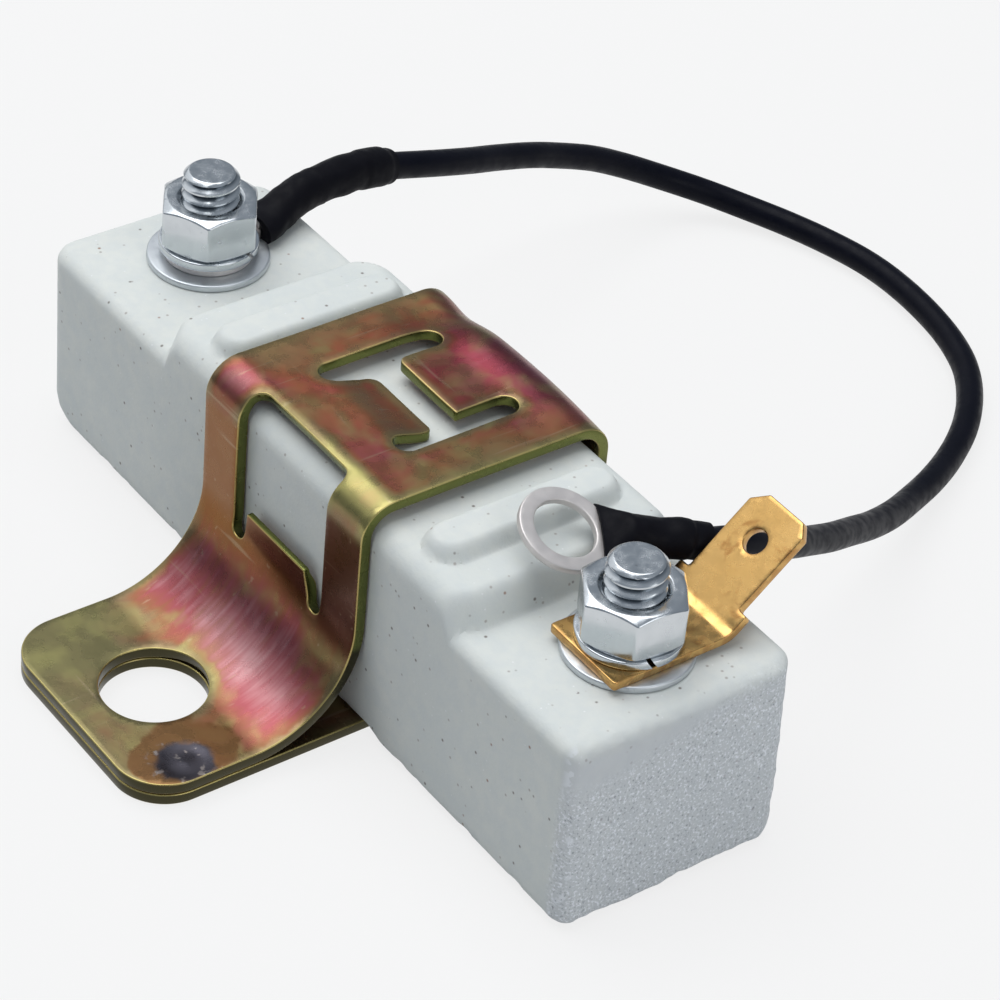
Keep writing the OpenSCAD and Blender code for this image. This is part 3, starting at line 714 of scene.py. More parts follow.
    # Rims painted bright as painted highlight, and cut walls painted yellow-green over the plate as painted
    # highlight and dark elsewhere as painted shade
    rim = g.band(depth, -0.6, -0.25, 0.02, 0.12)
    g.paint(g.times(rim, 0.6), (0.55, 0.46, 0.17))
    plate = g.band(s, 22.5, 23.5, 60.0, 62.0)
    # Wall colour: painted highlight over the plate, painted shade elsewhere
    wall = g.mix(plate, (0.05, 0.045, 0.022), (0.15, 0.165, 0.045))
    g.paint(g.fade(depth, -0.8, -0.4), wall)
    rough = g.span(patch, 0.3, 0.7, 0.24, 0.33)
    height = g.plus(g.noise(0.5, 3), g.times(streak, 0.7))
    return g.done(rough, g.bump(height, 0.008, 0.5))


def zinc_material(name, smoothest, roughest):
    g = Look(name, 1.0, smoothest)
    g.tone = g.mix(g.noise(2.0, 3), (0.54, 0.57, 0.60), (0.66, 0.69, 0.71))
    spot = g.span(g.noise(0.55, 2), 0.70, 0.80)
    g.paint(g.times(spot, 0.4), (0.26, 0.27, 0.29))
    # Painted shade in the stud's thread grooves
    g.paint(g.times(g.attribute("groove_shade", "Fac"), 0.8), (0.06, 0.09, 0.12))
    return g.done(g.mottle(0.8, smoothest, roughest), g.bump(g.noise(0.7, 2), 0.004, 0.5))


def brass_material():
    g = Look("brass", 1.0, 0.24)
    g.tone = g.mix(g.noise(3.0, 3), (0.64, 0.405, 0.155), (0.55, 0.325, 0.105))
    stain = g.span(g.noise(2.2, 4, 0.6, distort=0.6), 0.52, 0.70)
    g.paint(g.times(stain, 0.7), (0.36, 0.165, 0.05))
    depth = g.split(g.attribute("strip"))[2]
    rim = g.times(g.fade(depth, 0.0, 0.35), g.span(g.noise(0.9, 3), 0.40, 0.60))
    g.paint(g.times(rim, 0.6), (0.40, 0.20, 0.07))
    return g.done(g.mottle(1.2, 0.18, 0.32), g.bump(g.noise(0.9, 3), 0.02, 0.4))


def tin_material():
    g = Look("tinned_metal", 0.55, 0.42)
    g.tone = g.mix(g.noise(1.5, 3), (0.62, 0.58, 0.56), (0.74, 0.70, 0.68))
    return g.done(g.mottle(0.8, 0.34, 0.48), g.bump(g.noise(0.3, 3), 0.010, 0.6))


def black_material(name, roughness, tone_a, tone_b, grain, depth):
    g = Look(name, 0.0, roughness)
    g.fill(g.shader, {"Specular IOR Level": 0.09})
    rough = g.mottle(1.0, roughness - 0.08, roughness + 0.1)
    g.tone = g.mix(g.noise(2.0, 3), tone_a, tone_b)
    return g.done(rough, g.bump(g.noise(grain, 3), depth, 0.6))


def wire_material():
    g = Look("resistance_wire", 1.0, 0.5)
    g.tone = g.mix(g.noise(0.8, 3), (0.20, 0.19, 0.18), (0.32, 0.30, 0.28))
    return g.done(None, g.bump(g.noise(0.3), 0.01))


CERAMIC = ceramic_material()
CEMENT = cement_material()
CHROMATE = strap_material()
ZINC = zinc_material("bright_zinc", 0.15, 0.28)
DULL_ZINC = zinc_material("dull_zinc", 0.34, 0.48)
BRASS = brass_material()
TIN = tin_material()
SLEEVE = black_material("sleeve", 0.55, (0.002, 0.002, 0.004), (0.004, 0.004, 0.007), 0.6, 0.03)
INSULATION = black_material(
    "insulation", 0.42, (0.002, 0.0025, 0.006), (0.004, 0.0045, 0.010), 0.5, 0.005
)
WIRE = wire_material()


# Ceramic body: a pressed block with a relief on top, an uneven skin and a rough right end
BODY_LOW = 1.0
BODY_HALF = 38.6
BODY_FRONT = 12.5
BODY_BACK = 34.5
CORNER_RADII = (2.4, 1.5, 2.4, 2.4)
TOP_EDGE_R = 1.25
RAISED_EDGE_MORE = 0.65
BASE_EDGE_R = 0.7
LEFT_BASE_MORE = 1.3
EDGE_SHARES = (0.76, 0.55, 0.38, 0.25, 0.15, 0.08, 0.03, 0.0)
BASE_TURNS = (25, 50, 75)
WALL_ROWS = 37
RAISE = 3.0
RAISED_HALF = 22.0
RAISED_FLANK = 2.0
SETBACK_LEFT = 1.75
SETBACK_RIGHT = 0.9
SETBACK_DEPTH = 3.0
SOFT_FOOT = 0.06
RELIEF_X = 0.7
RIDGE_X = 15.2
RIDGE_HALF = 6.9
RIDGE_R = 2.3
RIDGE_HEIGHT = 1.4
RIDGE_FLANK = 1.15
END_LEAN = 0.6
LUMP_Y = 20.5
FLOOR_ROOM = 0.12
CHANNEL_X = 34.5
CHANNEL_FRONT = 16.5
CHANNEL_BACK = 30.5
HIGH_X = 20.25
ROOF_Z = 14.5
HIGH_ROOF_Z = 17.5


def step_share(x, y):
    depth = np.minimum(y - BODY_FRONT, BODY_BACK - y)
    setback = np.where(x < RELIEF_X, SETBACK_LEFT, SETBACK_RIGHT) * smooth_step(SETBACK_DEPTH, 0.0, depth)
    reach = RAISED_HALF - setback - np.abs(x - RELIEF_X)
    reach = 0.5 * (reach + np.hypot(reach, SOFT_FOOT))
    return 1 - (1 - np.clip(reach / RAISED_FLANK, 0, 1)) ** 2.6


def ridge_rise(x, y):
    off = np.abs(np.abs(x - RELIEF_X) - RIDGE_X)
    beyond = np.clip(np.abs(y - BODY_Y) - RIDGE_HALF, 0, None)
    climb = np.clip((RIDGE_R - np.hypot(off, beyond)) / RIDGE_FLANK, 0, 1)
    return RIDGE_HEIGHT * (1 - (1 - climb) ** 2.2)


def body_top(x, y):
    return LAND_Z + RAISE * step_share(x, y) + ridge_rise(x, y)


# Mesh that grows by patches and by rows of points
class Growing:
    def __init__(self):
        self.points, self.faces, self.count = [], [], 0

    def add(self, flat, height, faces=()):
        first = self.count
        self.points.append(np.column_stack([flat, np.broadcast_to(height, len(flat))]))
        self.count += len(flat)
        self.faces += [tuple(int(i) + first for i in face) for face in faces]
        return list(range(first, self.count))

    def join(self, one, two):
        self.faces += between(one, two)

    def extend(self, row, flat, height):
        after = self.add(flat, height)
        self.join(row, after)
        return after

    # Flat patch between loops, which gives back its points along each loop
    def patch(self, loops, cell, height):
        spots, faces, place_of = flat_fill(loops, cell)
        at = self.add(spots, height(spots[:, 0], spots[:, 1]), faces)
        rows = []
        start = 0
        for loop in loops:
            rows.append([at[place_of[start + i]] for i in range(len(loop))])
            start += len(loop)
        return rows


def channel_loop(half, margin):
    return box_loop(half, CHANNEL_FRONT + margin, CHANNEL_BACK - margin, (0, 0, 0, 0), 1.0)


# Body from the top down: relief, upper edge, walls, lower edge, underside, and the channel with its bores
def body_form():
    form = Growing()
    outline = box_loop(BODY_HALF, BODY_FRONT, BODY_BACK, CORNER_RADII, 0.3)
    stud_holes = [circle_loop(side * STUD_X, BODY_Y, STUD_HOLE_R, 0.4) for side in (-1, 1)]
    share = step_share(outline[:, 0], np.clip(outline[:, 1], BODY_FRONT + 1, BODY_BACK - 1))
    edge_r = TOP_EDGE_R + RAISED_EDGE_MORE * share
    row, *bores = form.patch([inset_loop(outline, edge_r)] + stud_holes, 0.2, body_top)
    for part in EDGE_SHARES:
        flat = inset_loop(outline, edge_r * part)
        drop = edge_r * (1 - sqrt(1 - (1 - part) ** 2))
        row = form.extend(row, flat, body_top(flat[:, 0], flat[:, 1]) - drop)
    high = form.points[-1][:, 2]
    base_r = BASE_EDGE_R + LEFT_BASE_MORE * smooth_step(4.5 - BODY_HALF, 1.0 - BODY_HALF, outline[:, 0])
    for part in np.linspace(0, 1, WALL_ROWS + 1)[1:]:
        row = form.extend(row, outline, high + (BODY_LOW + base_r - high) * part)
    for turn in BASE_TURNS:
        a = radians(turn)
        flat = inset_loop(outline, base_r * (1 - cos(a)))
        row = form.extend(row, flat, BODY_LOW + base_r * (1 - sin(a)))
    mouth = channel_loop(CHANNEL_X, 0)
    rim, mouth_row = form.patch([inset_loop(outline, base_r), mouth], 0.9, lambda x, y: BODY_LOW)
    form.join(row, rim)
    skin = form.count
    middle = channel_loop(HIGH_X, 0.01)
    ends = form.patch([mouth, middle] + stud_holes, 1.5, lambda x, y: ROOF_Z)
    form.join(mouth_row, ends[0])
    form.join(ends[1], form.patch([middle], 1.5, lambda x, y: HIGH_ROOF_Z)[0])
    for bore, low_bore in zip(bores, ends[2:]):
        form.join(bore, low_bore)
    return np.concatenate(form.points), form.faces, skin


def field(points, size, shift=(0, 0, 0)):
    return np.array([noise.noise(Vector(p) / size + Vector(shift)) for p in points])


# Skin sunk by waves, grain and chips, an end that leans, and a lower edge that sags
def uneven_body(p, normals):
    x, y, z = p.T
    wave, grain, chip = field(p, 6.0), field(p, 0.9), field(p, 1.7, (9, 4, 2))
    end = smooth_step(BODY_HALF - 1.9, BODY_HALF - 0.9, x)
    sink = 0.025 * (1 + wave) + 0.010 * (1 + grain) + end * 0.09 * (1 + grain)
    below = smooth_step(0.1, 0.6, np.abs(normals[:, 2])) * (normals[:, 2] < 0)
    sink += smooth_step(2.6, 1.6, z) * below * 0.25 * np.clip(chip - 0.15, 0, 1)
    p = p - normals * sink[:, None]
    p[:, 0] -= END_LEAN * smooth_step(5.0, 18.0, z) * smooth_step(33.0, BODY_HALF - 0.5, x)
    lump = np.clip(0.3 + 0.35 * np.exp(-((y - LUMP_Y) / 2.4) ** 2) + 0.14 * chip, 0, 0.5)
    sag = 0.4 * smooth_step(12.6, 14.5, np.abs(x)) + lump * smooth_step(-2.2, -0.4, x - BODY_HALF)
    p[:, 2] = np.maximum(p[:, 2] - sag * smooth_step(3.4, 1.3, z), FLOOR_ROOM)
    return p


def make_body():
    points, faces, skin = body_form()
    piece = make_piece("body", points, faces, CERAMIC, "ceramic_body", 50)
    normals = np.array([n.vector for n in piece.data.vertex_normals])
    points[:skin] = uneven_body(points[:skin], normals[:skin])
    piece.data.vertices.foreach_set("co", (points * MM).ravel())
    piece.data.update()


# Strap bracket: one folded sheet with its cut-outs
STRAP_HALF = 11.3
STRAP_THICK = 1.0
STRAP_LENGTH = 121.719
STRAP_CORNER_R = 4.5
BOLT_HOLE_R = 4.5
HOLE_S = 7.7
FOOT_RUN = 10.1
SWEEP_R = 9.5
STRAP_PATH = trace((-HOLE_S, 1.6), 0, [
    (FOOT_RUN, 0), (14.923, 90), (8.9, 0), (3.927, -90), (18.2, 0), (3.927, -90), (18.2, 0), (2.042, -90),
    (41.5, 0),
])
WINDOW_HALF = 6.4
WINDOW_LOW = 22.918
WINDOW_HIGH = 37.14
WINDOW_R = 0.74
TONGUE_HALF = 4.9
TONGUE_ROOT = 23.3
TONGUE_TURN = 1.0
TIP_HALF = 4.2
TIP_S = 26.323
TIP_R = 0.15
LEAN_HEADING = 94.0
ROOT_HEADING = degrees((TONGUE_ROOT - FOOT_RUN) / SWEEP_R)
TONGUE_PATH = trace(
    along(STRAP_PATH, TONGUE_ROOT, 0.0), ROOT_HEADING, [(TONGUE_TURN, LEAN_HEADING - ROOT_HEADING), (4.0, 0)]
)
H_MIDDLE = 46.95
SLOT_LOW = H_MIDDLE - 5.0
SLOT_HIGH = H_MIDDLE + 6.8
SLOT_IN = 4.15
SLOT_OUT = 6.55
SLOT_R = 1.19
STEM_LOW = H_MIDDLE - 0.5
STEM_HIGH = H_MIDDLE + 1.7
TAB_DROP = 0.93
WELD_DENT = 0.09
WELD_NUB = 0.04
CROWN = 0.35
CROWN_S = 57.5
DIP = 0.5
DIP_AT = (-7.4, 56.5)
RIPPLE = 0.04


# Place of the flat pattern's points, with the dipped tab, the weld's dent, a crown, a dip and the bent tongue
def strap_place(x, s, n):
    tab = (np.abs(x) < 5.5) & (s > SLOT_LOW) & (s < (STEM_LOW + STEM_HIGH) / 2)
    dip = TAB_DROP * smooth_step(SLOT_LOW, STEM_LOW - 0.3, s) * smooth_step(5.3, 4.2, np.abs(x))
    off = np.hypot(x - WELD_AT[0], s - WELD_AT[1])
    dent = WELD_DENT * smooth_step(2.3, 1.4, off) - WELD_NUB * smooth_step(0.8, 0.1, off)
    drop = np.where(tab, dip, 0) + np.where(n > 0, dent, 0)
    crown = CROWN * np.clip(1 - (x / STRAP_HALF) ** 2, 0, 1) * smooth_step(5.0, 1.0, np.abs(s - CROWN_S))
    crown = crown - DIP * np.exp(-((x - DIP_AT[0]) / 2.6) ** 2) * smooth_step(6.0, 1.0, np.abs(s - DIP_AT[1]))
    ripple = RIPPLE * np.sin(x * 0.42 + s * 0.21) * smooth_step(30, 36, s) * smooth_step(62, 56, s)
    y, z = along(STRAP_PATH, s, n - drop + crown + ripple)
    on_tongue = (np.abs(x) < 5.65) & (s > TONGUE_ROOT) & (s < 27)
    half = STRAP_THICK / 2
    thin = half - (half - n) * (1 - 0.45 * smooth_step(24.6, 26.2, s))
    ty, tz = along(TONGUE_PATH, s - TONGUE_ROOT, thin)
    return np.stack([x, np.where(on_tongue, ty, y), np.where(on_tongue, tz, z)], 1)


def make_strap():
    outer = box_loop(STRAP_HALF, 0, STRAP_LENGTH, [STRAP_CORNER_R] * 4, 0.3)
    window = rounded_loop([
        (-WINDOW_HALF, WINDOW_LOW, WINDOW_R), (-TONGUE_HALF, WINDOW_LOW, WINDOW_R), (-TIP_HALF, TIP_S, TIP_R),
        (TIP_HALF, TIP_S, TIP_R), (TONGUE_HALF, WINDOW_LOW, WINDOW_R), (WINDOW_HALF, WINDOW_LOW, WINDOW_R),
        (WINDOW_HALF, WINDOW_HIGH, 0.9), (-WINDOW_HALF, WINDOW_HIGH, 1.3),
    ], 0.22)
    h_cut = rounded_loop([
        (SLOT_IN, STEM_HIGH, 0.12), (SLOT_IN, SLOT_HIGH, SLOT_R), (SLOT_OUT, SLOT_HIGH, SLOT_R),
        (SLOT_OUT, SLOT_LOW, SLOT_R), (SLOT_IN, SLOT_LOW, SLOT_R), (SLOT_IN, STEM_LOW, 0.5),
        (-SLOT_IN, STEM_LOW, 1.1), (-SLOT_IN, SLOT_LOW, SLOT_R), (-SLOT_OUT, SLOT_LOW, SLOT_R),
        (-SLOT_OUT, SLOT_HIGH, SLOT_R), (-SLOT_IN, SLOT_HIGH, SLOT_R), (-SLOT_IN, STEM_HIGH, 0.8),
    ], 0.22)
    upper = circle_loop(0, HOLE_S, BOLT_HOLE_R, 0.22)
    lower = circle_loop(0, STRAP_LENGTH - HOLE_S, BOLT_HOLE_R, 0.3)
    make_sheet(
        "strap", outer, [window, h_cut, upper, lower], STRAP_THICK, 0.13, 0.42, strap_place, CHROMATE,
        "strap_bracket",
    )


# Studs with their rolled threads
THREAD_PITCH = 1.0
THREAD_ROOT = 1.97
THREAD_CREST = STUD_R - 0.02
THREAD_LOW = 20.0
THREAD_ROWS = 14
SHANK_Z = 18.5
STUD_SIDES = 72
STUD_TOP = 26.9
CHAMFER = 0.6
CHAMFER_FALL = 0.545
TIP_RINGS = ((1.9, 0.005), (1.82, 0.0), (1.2, 0.01), (0.5, 0.015))
HEAD_FLATS = 8.0
HEAD_LOW = 11.0
HEAD_HIGH = 14.5


def thread_radius(z, turn):
    if z <= THREAD_LOW:
        return STUD_R
    crest = abs(2 * (turn % 1.0) - 1)
    r = THREAD_ROOT + (THREAD_CREST - THREAD_ROOT) * min(1.0, crest * 1.2)
    up = (z - STUD_TOP + CHAMFER) / CHAMFER
    if up > 0:
        r = min(r, THREAD_CREST - CHAMFER_FALL * up ** 1.6)
    return r


# Rings of the shank, rows of the thread that climb by a pitch a turn, rings of the tip, and a hexagonal head
def make_stud(name, side, node):
    sides = STUD_SIDES
    points, faces = [], []

    def put(r, a, z):
        points.append((side * STUD_X + r * cos(a), BODY_Y + r * sin(a), z))

    def ring(r, z):
        for k in range(sides):
            put(r, FULL_TURN * k / sides, z)

    ring(STUD_R, HEAD_HIGH)
    ring(STUD_R, SHANK_Z)
    top = STUD_TOP - 0.02
    rows = ceil((top - THREAD_LOW) / THREAD_PITCH + 2) * THREAD_ROWS
    for j in range(rows + 1):
        for k in range(sides):
            z = THREAD_LOW + THREAD_PITCH * (j / THREAD_ROWS + k / sides - 1)
            z = min(top, max(THREAD_LOW, z))
            put(thread_radius(z, j / THREAD_ROWS), FULL_TURN * k / sides, z)
    for r, drop in TIP_RINGS:
        ring(r, STUD_TOP - drop)
    first, last = 2, rows + 2
    count = last + 1 + len(TIP_RINGS)
    for i in range(count - 1):
        for k in range(sides):
            m = (k + 1) % sides
            climb = THREAD_ROWS if m == 0 and first <= i < last else 0
            low, high = (min(row + climb, last) if climb else row for row in (i, i + 1))
            faces.append((i * sides + k, low * sides + m, high * sides + m, (i + 1) * sides + k))
    for i in range(first, first + THREAD_ROWS):
        faces.append((i * sides, (i + 1) * sides, first * sides + sides - 1))
    faces.append(tuple((count - 1) * sides + k for k in range(sides)))
    base = len(points)
    deck = base + 6
    for z in (HEAD_LOW, HEAD_HIGH):
        for k in range(6):
            put(HEAD_FLATS / 2 / cos(pi / 6), pi / 3 * k, z)
    faces.append(tuple(base + 5 - k for k in range(6)))
    faces += between(list(range(base, deck)), list(range(deck, deck + 6)))
    share = sides // 6
    for k in range(sides):
        m = (k + 1) % sides
        near, after = deck + k // share, deck + (k // share + 1) % 6
        if k % share == share // 2:
            faces.append((near, after, m, k))
        else:
            faces.append((near if k % share < share // 2 else after, m, k))
    piece = make_piece(name, points, faces, ZINC, node, 40, True)
    x, y, z = np.array([v.co for v in piece.data.vertices]).T / MM
    out = np.hypot(x - side * STUD_X, y - BODY_Y)
    # Painted shade in the thread grooves: full at the root, none at the crest, none near the tip or on the
    # shank
    shade_in_groove = smooth_step(STUD_R - 0.12, THREAD_ROOT + 0.04, out) * (z < STUD_TOP - CHAMFER * 0.5)
    groove_shade = piece.data.attributes.new("groove_shade", "FLOAT", "POINT")
    groove_shade.data.foreach_set("value", shade_in_groove * (z > THREAD_LOW))


# Washers and nuts
WASHER_R = 5.35
SPRING_R = 4.35
SPRING_GAP = 0.35
SPRING_CUT = tan(radians(30))
NUT_FLATS = 8.0
NUT_POINT_R = 4.619 - 0.05
NUT_SOFT = 0.03
NUT_HEIGHT = 4.15
NUT_CORNER = radians(26)
NUT_CONE_R = 3.78
NUT_CONE = tan(radians(28))
NUT_BORE = 2.52
NUT_MOUTH = 0.38


def ring_profile(outer, thick, radii):
    return fillet([(STUD_HOLE_R, 0), (outer, 0), (outer, thick), (STUD_HOLE_R, thick)], radii)


def make_ring(name, side, node, outer, low, thick, edge):
    profile = ring_profile(outer, thick, [edge * 0.5, edge, edge * 1.4, edge])
    points, faces = turned(lambda a: profile, 96, (side * STUD_X, BODY_Y, low))
    make_piece(name, points, faces, DULL_ZINC, node, 50)


# Spring washer with a slanting cut
def make_spring(name, side, node, low, split):
    profile = ring_profile(SPRING_R, SPRING_THICK, [0.1, 0.16, 0.16, 0.1])
    middle = (SPRING_R + STUD_HOLE_R) / 2
    open_by = SPRING_GAP / middle
    points, faces = turned(
        lambda a: profile, 96, (side * STUD_X, BODY_Y, low), radians(split) + open_by / 2,
        FULL_TURN - open_by, lambda z: -(z - SPRING_THICK / 2) * SPRING_CUT / middle,
    )
    make_piece(name, points, faces, ZINC, node, 50)


# Hexagon with softened corners, cut by a cone above and below, at one angle about the axis
def nut_profile(a):
    part = (a - NUT_CORNER + pi / 6) % (pi / 3) - pi / 6
    flat = NUT_FLATS / 2 / cos(pi / 6 - abs(part))
    corner = NUT_POINT_R - 0.5 * part * part
    r = -NUT_SOFT * log(exp(-flat / NUT_SOFT) + exp(-corner / NUT_SOFT))
    drop = max(0.06, (r - NUT_CONE_R) * NUT_CONE)
    points = [
        (NUT_BORE, 0), (NUT_CONE_R, 0), (r, drop), (r, NUT_HEIGHT - drop), (NUT_CONE_R, NUT_HEIGHT),
        (NUT_BORE + NUT_MOUTH, NUT_HEIGHT), (NUT_BORE, NUT_HEIGHT - NUT_MOUTH),
    ]
    return fillet(points, [0.05, 0.1, 0.12, 0.16, 0.14, 0.08, 0.08])


def make_nut(name, side, node, low):
    points, faces = turned(nut_profile, 240, (side * STUD_X, BODY_Y, low))
    make_piece(name, points, faces, ZINC, node, 40)


# Spade terminal: a brass blank with a bend
SPADE_PATH = trace((19.0, 19.0), 0, [(10.5, 0), (1.3265, 40), (9.7, 0)])
SPADE_BEND_END = 11.8265
SPADE_LENGTH = 21.5265
SPADE_HALF = 4.1
BLADE_HALF = 3.15
SHOULDER = SPADE_BEND_END + 1.4


def make_spade():
    outer = rounded_loop([
        (-SPADE_HALF, 0, 0.25), (SPADE_HALF, 0, 0.25), (SPADE_HALF, SHOULDER, 0.2),
        (BLADE_HALF, SHOULDER, 0.2), (BLADE_HALF, SPADE_LENGTH - 1.0, 0.25),
        (2.2, SPADE_LENGTH, 0.25), (-1.85, SPADE_LENGTH, 0.25),
        (-BLADE_HALF, SPADE_LENGTH - 1.2, 0.25), (-BLADE_HALF, SHOULDER, 0.2), (-SPADE_HALF, SHOULDER, 0.2),
    ], 0.25)
    holes = [circle_loop(0, 4.5, STUD_HOLE_R, 0.2), circle_loop(0, SHOULDER + 4.8, 1.05, 0.13)]

    def place(x, s, n):
        y, z = along(SPADE_PATH, s, n)
        return np.stack([x + STUD_X, y, z], 1)

    make_sheet("spade", outer, holes, TERMINAL_THICK, 0.12, 0.32, place, BRASS, "spade_terminal")


# Ring terminals: a flat eye with a neck and a crimped barrel
RING_R = 3.9
NECK_HALF = 1.3
BARREL_RADII = (1.0, 0.75)
BARREL_AXIS_Z = 0.62


def make_ring_terminal(name, node, at, thick):
    step = 0.16
    first = degrees(asin(NECK_HALF / RING_R))
    eye = [(RING_R * sin(radians(a)), RING_R * cos(radians(a)), 0)
           for a in np.linspace(first, 360 - first, 110)]
    outer = rounded_loop(eye + [(-NECK_HALF, BARREL_START, 0), (NECK_HALF, BARREL_START, 0)], step)
    holes = [circle_loop(0, 0, STUD_HOLE_R, step)]

    def place(x, s, n):
        return np.array([tuple(at(*p)) for p in zip(x, s, n)])

    line = [at(0, y, BARREL_AXIS_Z) for y in np.linspace(BARREL_START, BARREL_END - 1.6, 24)]
    barrel = tube(line, BARREL_RADII, 32)
    return make_sheet(name, outer, holes, thick, 0.12, 0.3, place, TIN, node, barrel)


# Shrunk sleeves over the barrels, in rows with the half width and height of both walls
SLEEVE_SIDES = 56
FIXED_SLEEVE_R = 1.74
FREE_SLEEVE_R = 1.68
SLEEVE_WALL = 0.22
BARREL_ROOM = 1.12
LEAD_HOLE = (LEAD_HOLE_R, LEAD_HOLE_R)


def make_sleeve(name, node, rows, seed, size):
    points = []
    for i, (place, wall, hollow) in enumerate(rows):
        for (wide, tall), ripple in ((wall, size), (hollow, 0)):
            for k in range(SLEEVE_SIDES):
                a = FULL_TURN * k / SLEEVE_SIDES
                swell = 1.0 + ripple * noise.noise((i * 0.12 + seed, 1.5 * cos(a), 1.5 * sin(a)))
                points.append(place(wide * swell * cos(a), tall * swell * sin(a)))
    return make_piece(name, points, tube_faces(len(rows), SLEEVE_SIDES), SLEEVE, node, 50)


# Fixed sleeve: wide and low at the ring, straight over the barrel, then sagging with the lead
def make_fixed_sleeve():
    rows = []
    for y in np.linspace(FIXED_SLEEVE_START, FIXED_SLEEVE_END, 60):
        flat = smooth_step(9.6, 5.0, y)
        low = smooth_step(11.5, 5.5, y)

        def place(u, v, y=y, low=low):
            return on_fixed(u + 0.4 * low, y, BARREL_RISE - 0.85 * low + v)

        hollow = LEAD_HOLE if y > BARREL_END - 0.4 else (BARREL_ROOM, BARREL_ROOM)
        rows.append((place, (FIXED_SLEEVE_R + 0.56 * flat, FIXED_SLEEVE_R - 0.36 * flat), hollow))
    for t in np.arange(1, 41) / 40:
        r = 1.70 + 0.10 * exp(-((t - 0.35) / 0.14) ** 2)
        r += 0.12 * smooth_step(0.55, 0.62, t) - 0.16 * smooth_step(0.88, 0.95, t)

        def place(u, v, turn=SAG_TURN * t):
            a = radians(turn)
            return sag_point(turn) + FIXED_POSE @ Vector((u, v * sin(a), v * cos(a)))

        rows.append((place, (r, r), LEAD_HOLE))
    make_sleeve("fixed_sleeve_skin", "fixed_sleeve", rows, 3.0, 0.05)


# Free sleeve: pressed flat over the ring's neck, then round over the barrel and the lead
def make_free_sleeve():
    rows = []
    for y in np.linspace(FREE_SLEEVE_START, FREE_SLEEVE_END, 80):
        flat = smooth_step(5.2, FREE_SLEEVE_START, y)
        step = 0.12 * smooth_step(9.9, 10.4, y)
        wide = FREE_SLEEVE_R + 1.2 * smooth_step(5.4, FREE_SLEEVE_START, y) - step
        tall = FREE_SLEEVE_R - 0.93 * flat - step
        rise = 0.05 + 0.58 * (1 - flat) + 0.47 * smooth_step(7.4, 9.4, y)

        def place(u, v, y=y, rise=rise):
            return on_free(u, y, rise + v)

        hollow = LEAD_HOLE if y > 9.4 else (wide - SLEEVE_WALL, tall - SLEEVE_WALL)
        rows.append((place, (wide, tall), hollow))
    return make_sleeve("free_sleeve_skin", "free_sleeve", rows, 8.0, 0.03)


# Cement in the body's channel, with a rough lower face
CEMENT_CELL = 0.6
CEMENT_LUMP = 0.16
CEMENT_GRAIN = 0.08


def make_cement():
    low, high = (np.array(c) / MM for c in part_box("cement_seal"))
    nx, ny = (int((high[axis] - low[axis]) / CEMENT_CELL) for axis in (0, 1))
    points, faces = [], []
    for top in (0, 1):
        for j in range(ny + 1):
            for i in range(nx + 1):
                x = low[0] + (high[0] - low[0]) * i / nx
                y = low[1] + (high[1] - low[1]) * j / ny
                lump = CEMENT_LUMP * (1 + noise.noise((x / 2.2, y / 2.2, 7.0)))
                rough = lump + CEMENT_GRAIN * noise.noise((x / 0.8, y / 0.8, 2.0))
                edge = min(i, j, nx - i, ny - j)
                z = high[2] if top else low[2] + (max(0.0, rough) if edge else 0.0)
                points.append((x, y, z))
    row = nx + 1
    deck = row * (ny + 1)
    for top in (0, 1):
        for j in range(ny):
            for i in range(nx):
                a = top * deck + j * row + i
                faces.append((a, a + 1, a + row + 1, a + row))
    rim = [i for i in range(nx)] + [j * row + nx for j in range(ny)]
    rim += [ny * row + i for i in range(nx, 0, -1)] + [j * row for j in range(ny, 0, -1)]
    faces += between(rim, [i + deck for i in rim])
    make_piece("cement", points, faces, CEMENT, "cement_seal", 40)


make_body()
make_cement()
make_strap()
SPRING_Z = TERMINAL_Z + TERMINAL_THICK
NUT_Z = SPRING_Z + SPRING_THICK
for word, side, split in (("left", -1, 25), ("right", 1, -13)):
    make_stud(word + "_stud", side, word + "_terminal_stud")
    make_ring(word + "_washer", side, word + "_flat_washer", WASHER_R, LAND_Z, TERMINAL_Z - LAND_Z, 0.14)
    make_spring(word + "_spring", side, word + "_spring_washer", SPRING_Z, split)
    make_nut(word + "_nut", side, word + "_hex_nut", NUT_Z)
make_spade()
make_ring_terminal("fixed_ring", "fixed_ring_terminal", on_fixed, TERMINAL_THICK)
free_ring = make_ring_terminal("free_ring", "free_ring_terminal", on_free, 0.64)
make_fixed_sleeve()
free_sleeve = make_free_sleeve()

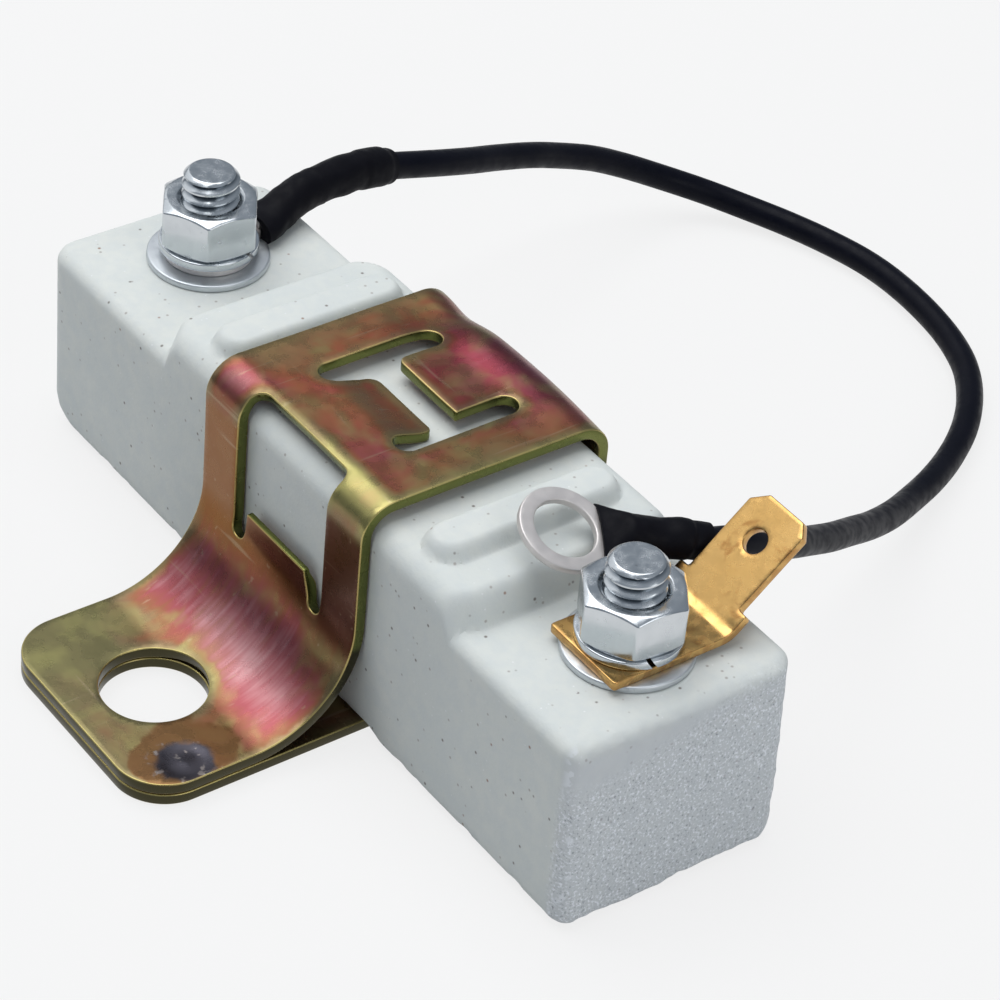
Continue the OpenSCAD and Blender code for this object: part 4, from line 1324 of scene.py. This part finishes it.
dress(lead, INSULATION, "jumper_lead")
line_length(lead_line) * MM
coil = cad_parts["resistance_coil"]
coil.data.materials.clear()
coil.data.materials.append(WIRE)


# Floor, lamps and the light all round, in metres
FLOOR_HALF = 2.5
FLOOR_Z = -0.0001
FLOOR_GLOW = 0.8
LAMP_TARGET = Vector((0, 0.025, 0.01))
SKY_STRENGTH = 0.52


def make_floor():
    mesh = bpy.data.meshes.new("floor")
    corners = ((-1, -1), (1, -1), (1, 1), (-1, 1))
    mesh.from_pydata([(FLOOR_HALF * x, FLOOR_HALF * y, FLOOR_Z) for x, y in corners], [], [(0, 1, 2, 3)])
    g = Look("floor", 0.0, 0.9)
    g.tone = g.mix(g.noise(60, 2), grey(0.56), grey(0.58))
    mesh.materials.append(g.done())
    ray = g.new("LightPath").outputs
    seen = g.math("ADD", ray["Is Camera Ray"], ray["Is Glossy Ray"], True)
    seen = g.math("ADD", seen, ray["Is Transmission Ray"], True)
    glow = g.new("Emission").outputs[0]
    join = g.new("MixShader", {0: g.times(seen, FLOOR_GLOW), 1: g.shader.outputs[0], 2: glow})
    g.fill(g.tree.nodes["Material Output"], {"Surface": join.outputs[0]})
    floor = add_object("floor", mesh)


def make_lamp(name, place, size, power):
    data = bpy.data.lights.new(name, "AREA")
    data.shape = "SQUARE"
    data.size = size
    data.energy = power
    lamp = add_object(name, data)
    lamp.location = place
    lamp.rotation_euler = (LAMP_TARGET - Vector(place)).to_track_quat("-Z", "Y").to_euler()


def make_world():
    world = bpy.data.worlds.new("studio")
    bpy.context.scene.world = world
    world.use_nodes = True
    g = Graph(world.node_tree)
    up = g.split(g.coord["Generated"])[2]
    sky = g.ramp(up, [(0.0, (0.34, 0.39, 0.45)), (1.0, (0.67, 0.74, 0.83))])
    g.fill(g.tree.nodes["Background"], {"Color": sky, "Strength": SKY_STRENGTH})


make_floor()
make_lamp("key", (-0.20, 0.00, 0.77), 0.75, 4.45)
make_lamp("side", (-0.60, -0.12, 0.52), 0.9, 1.6)
make_lamp("fill", (0.55, 0.10, 0.30), 0.4, 0.75)
make_world()
bpy.context.scene.view_settings.view_transform = "Standard"
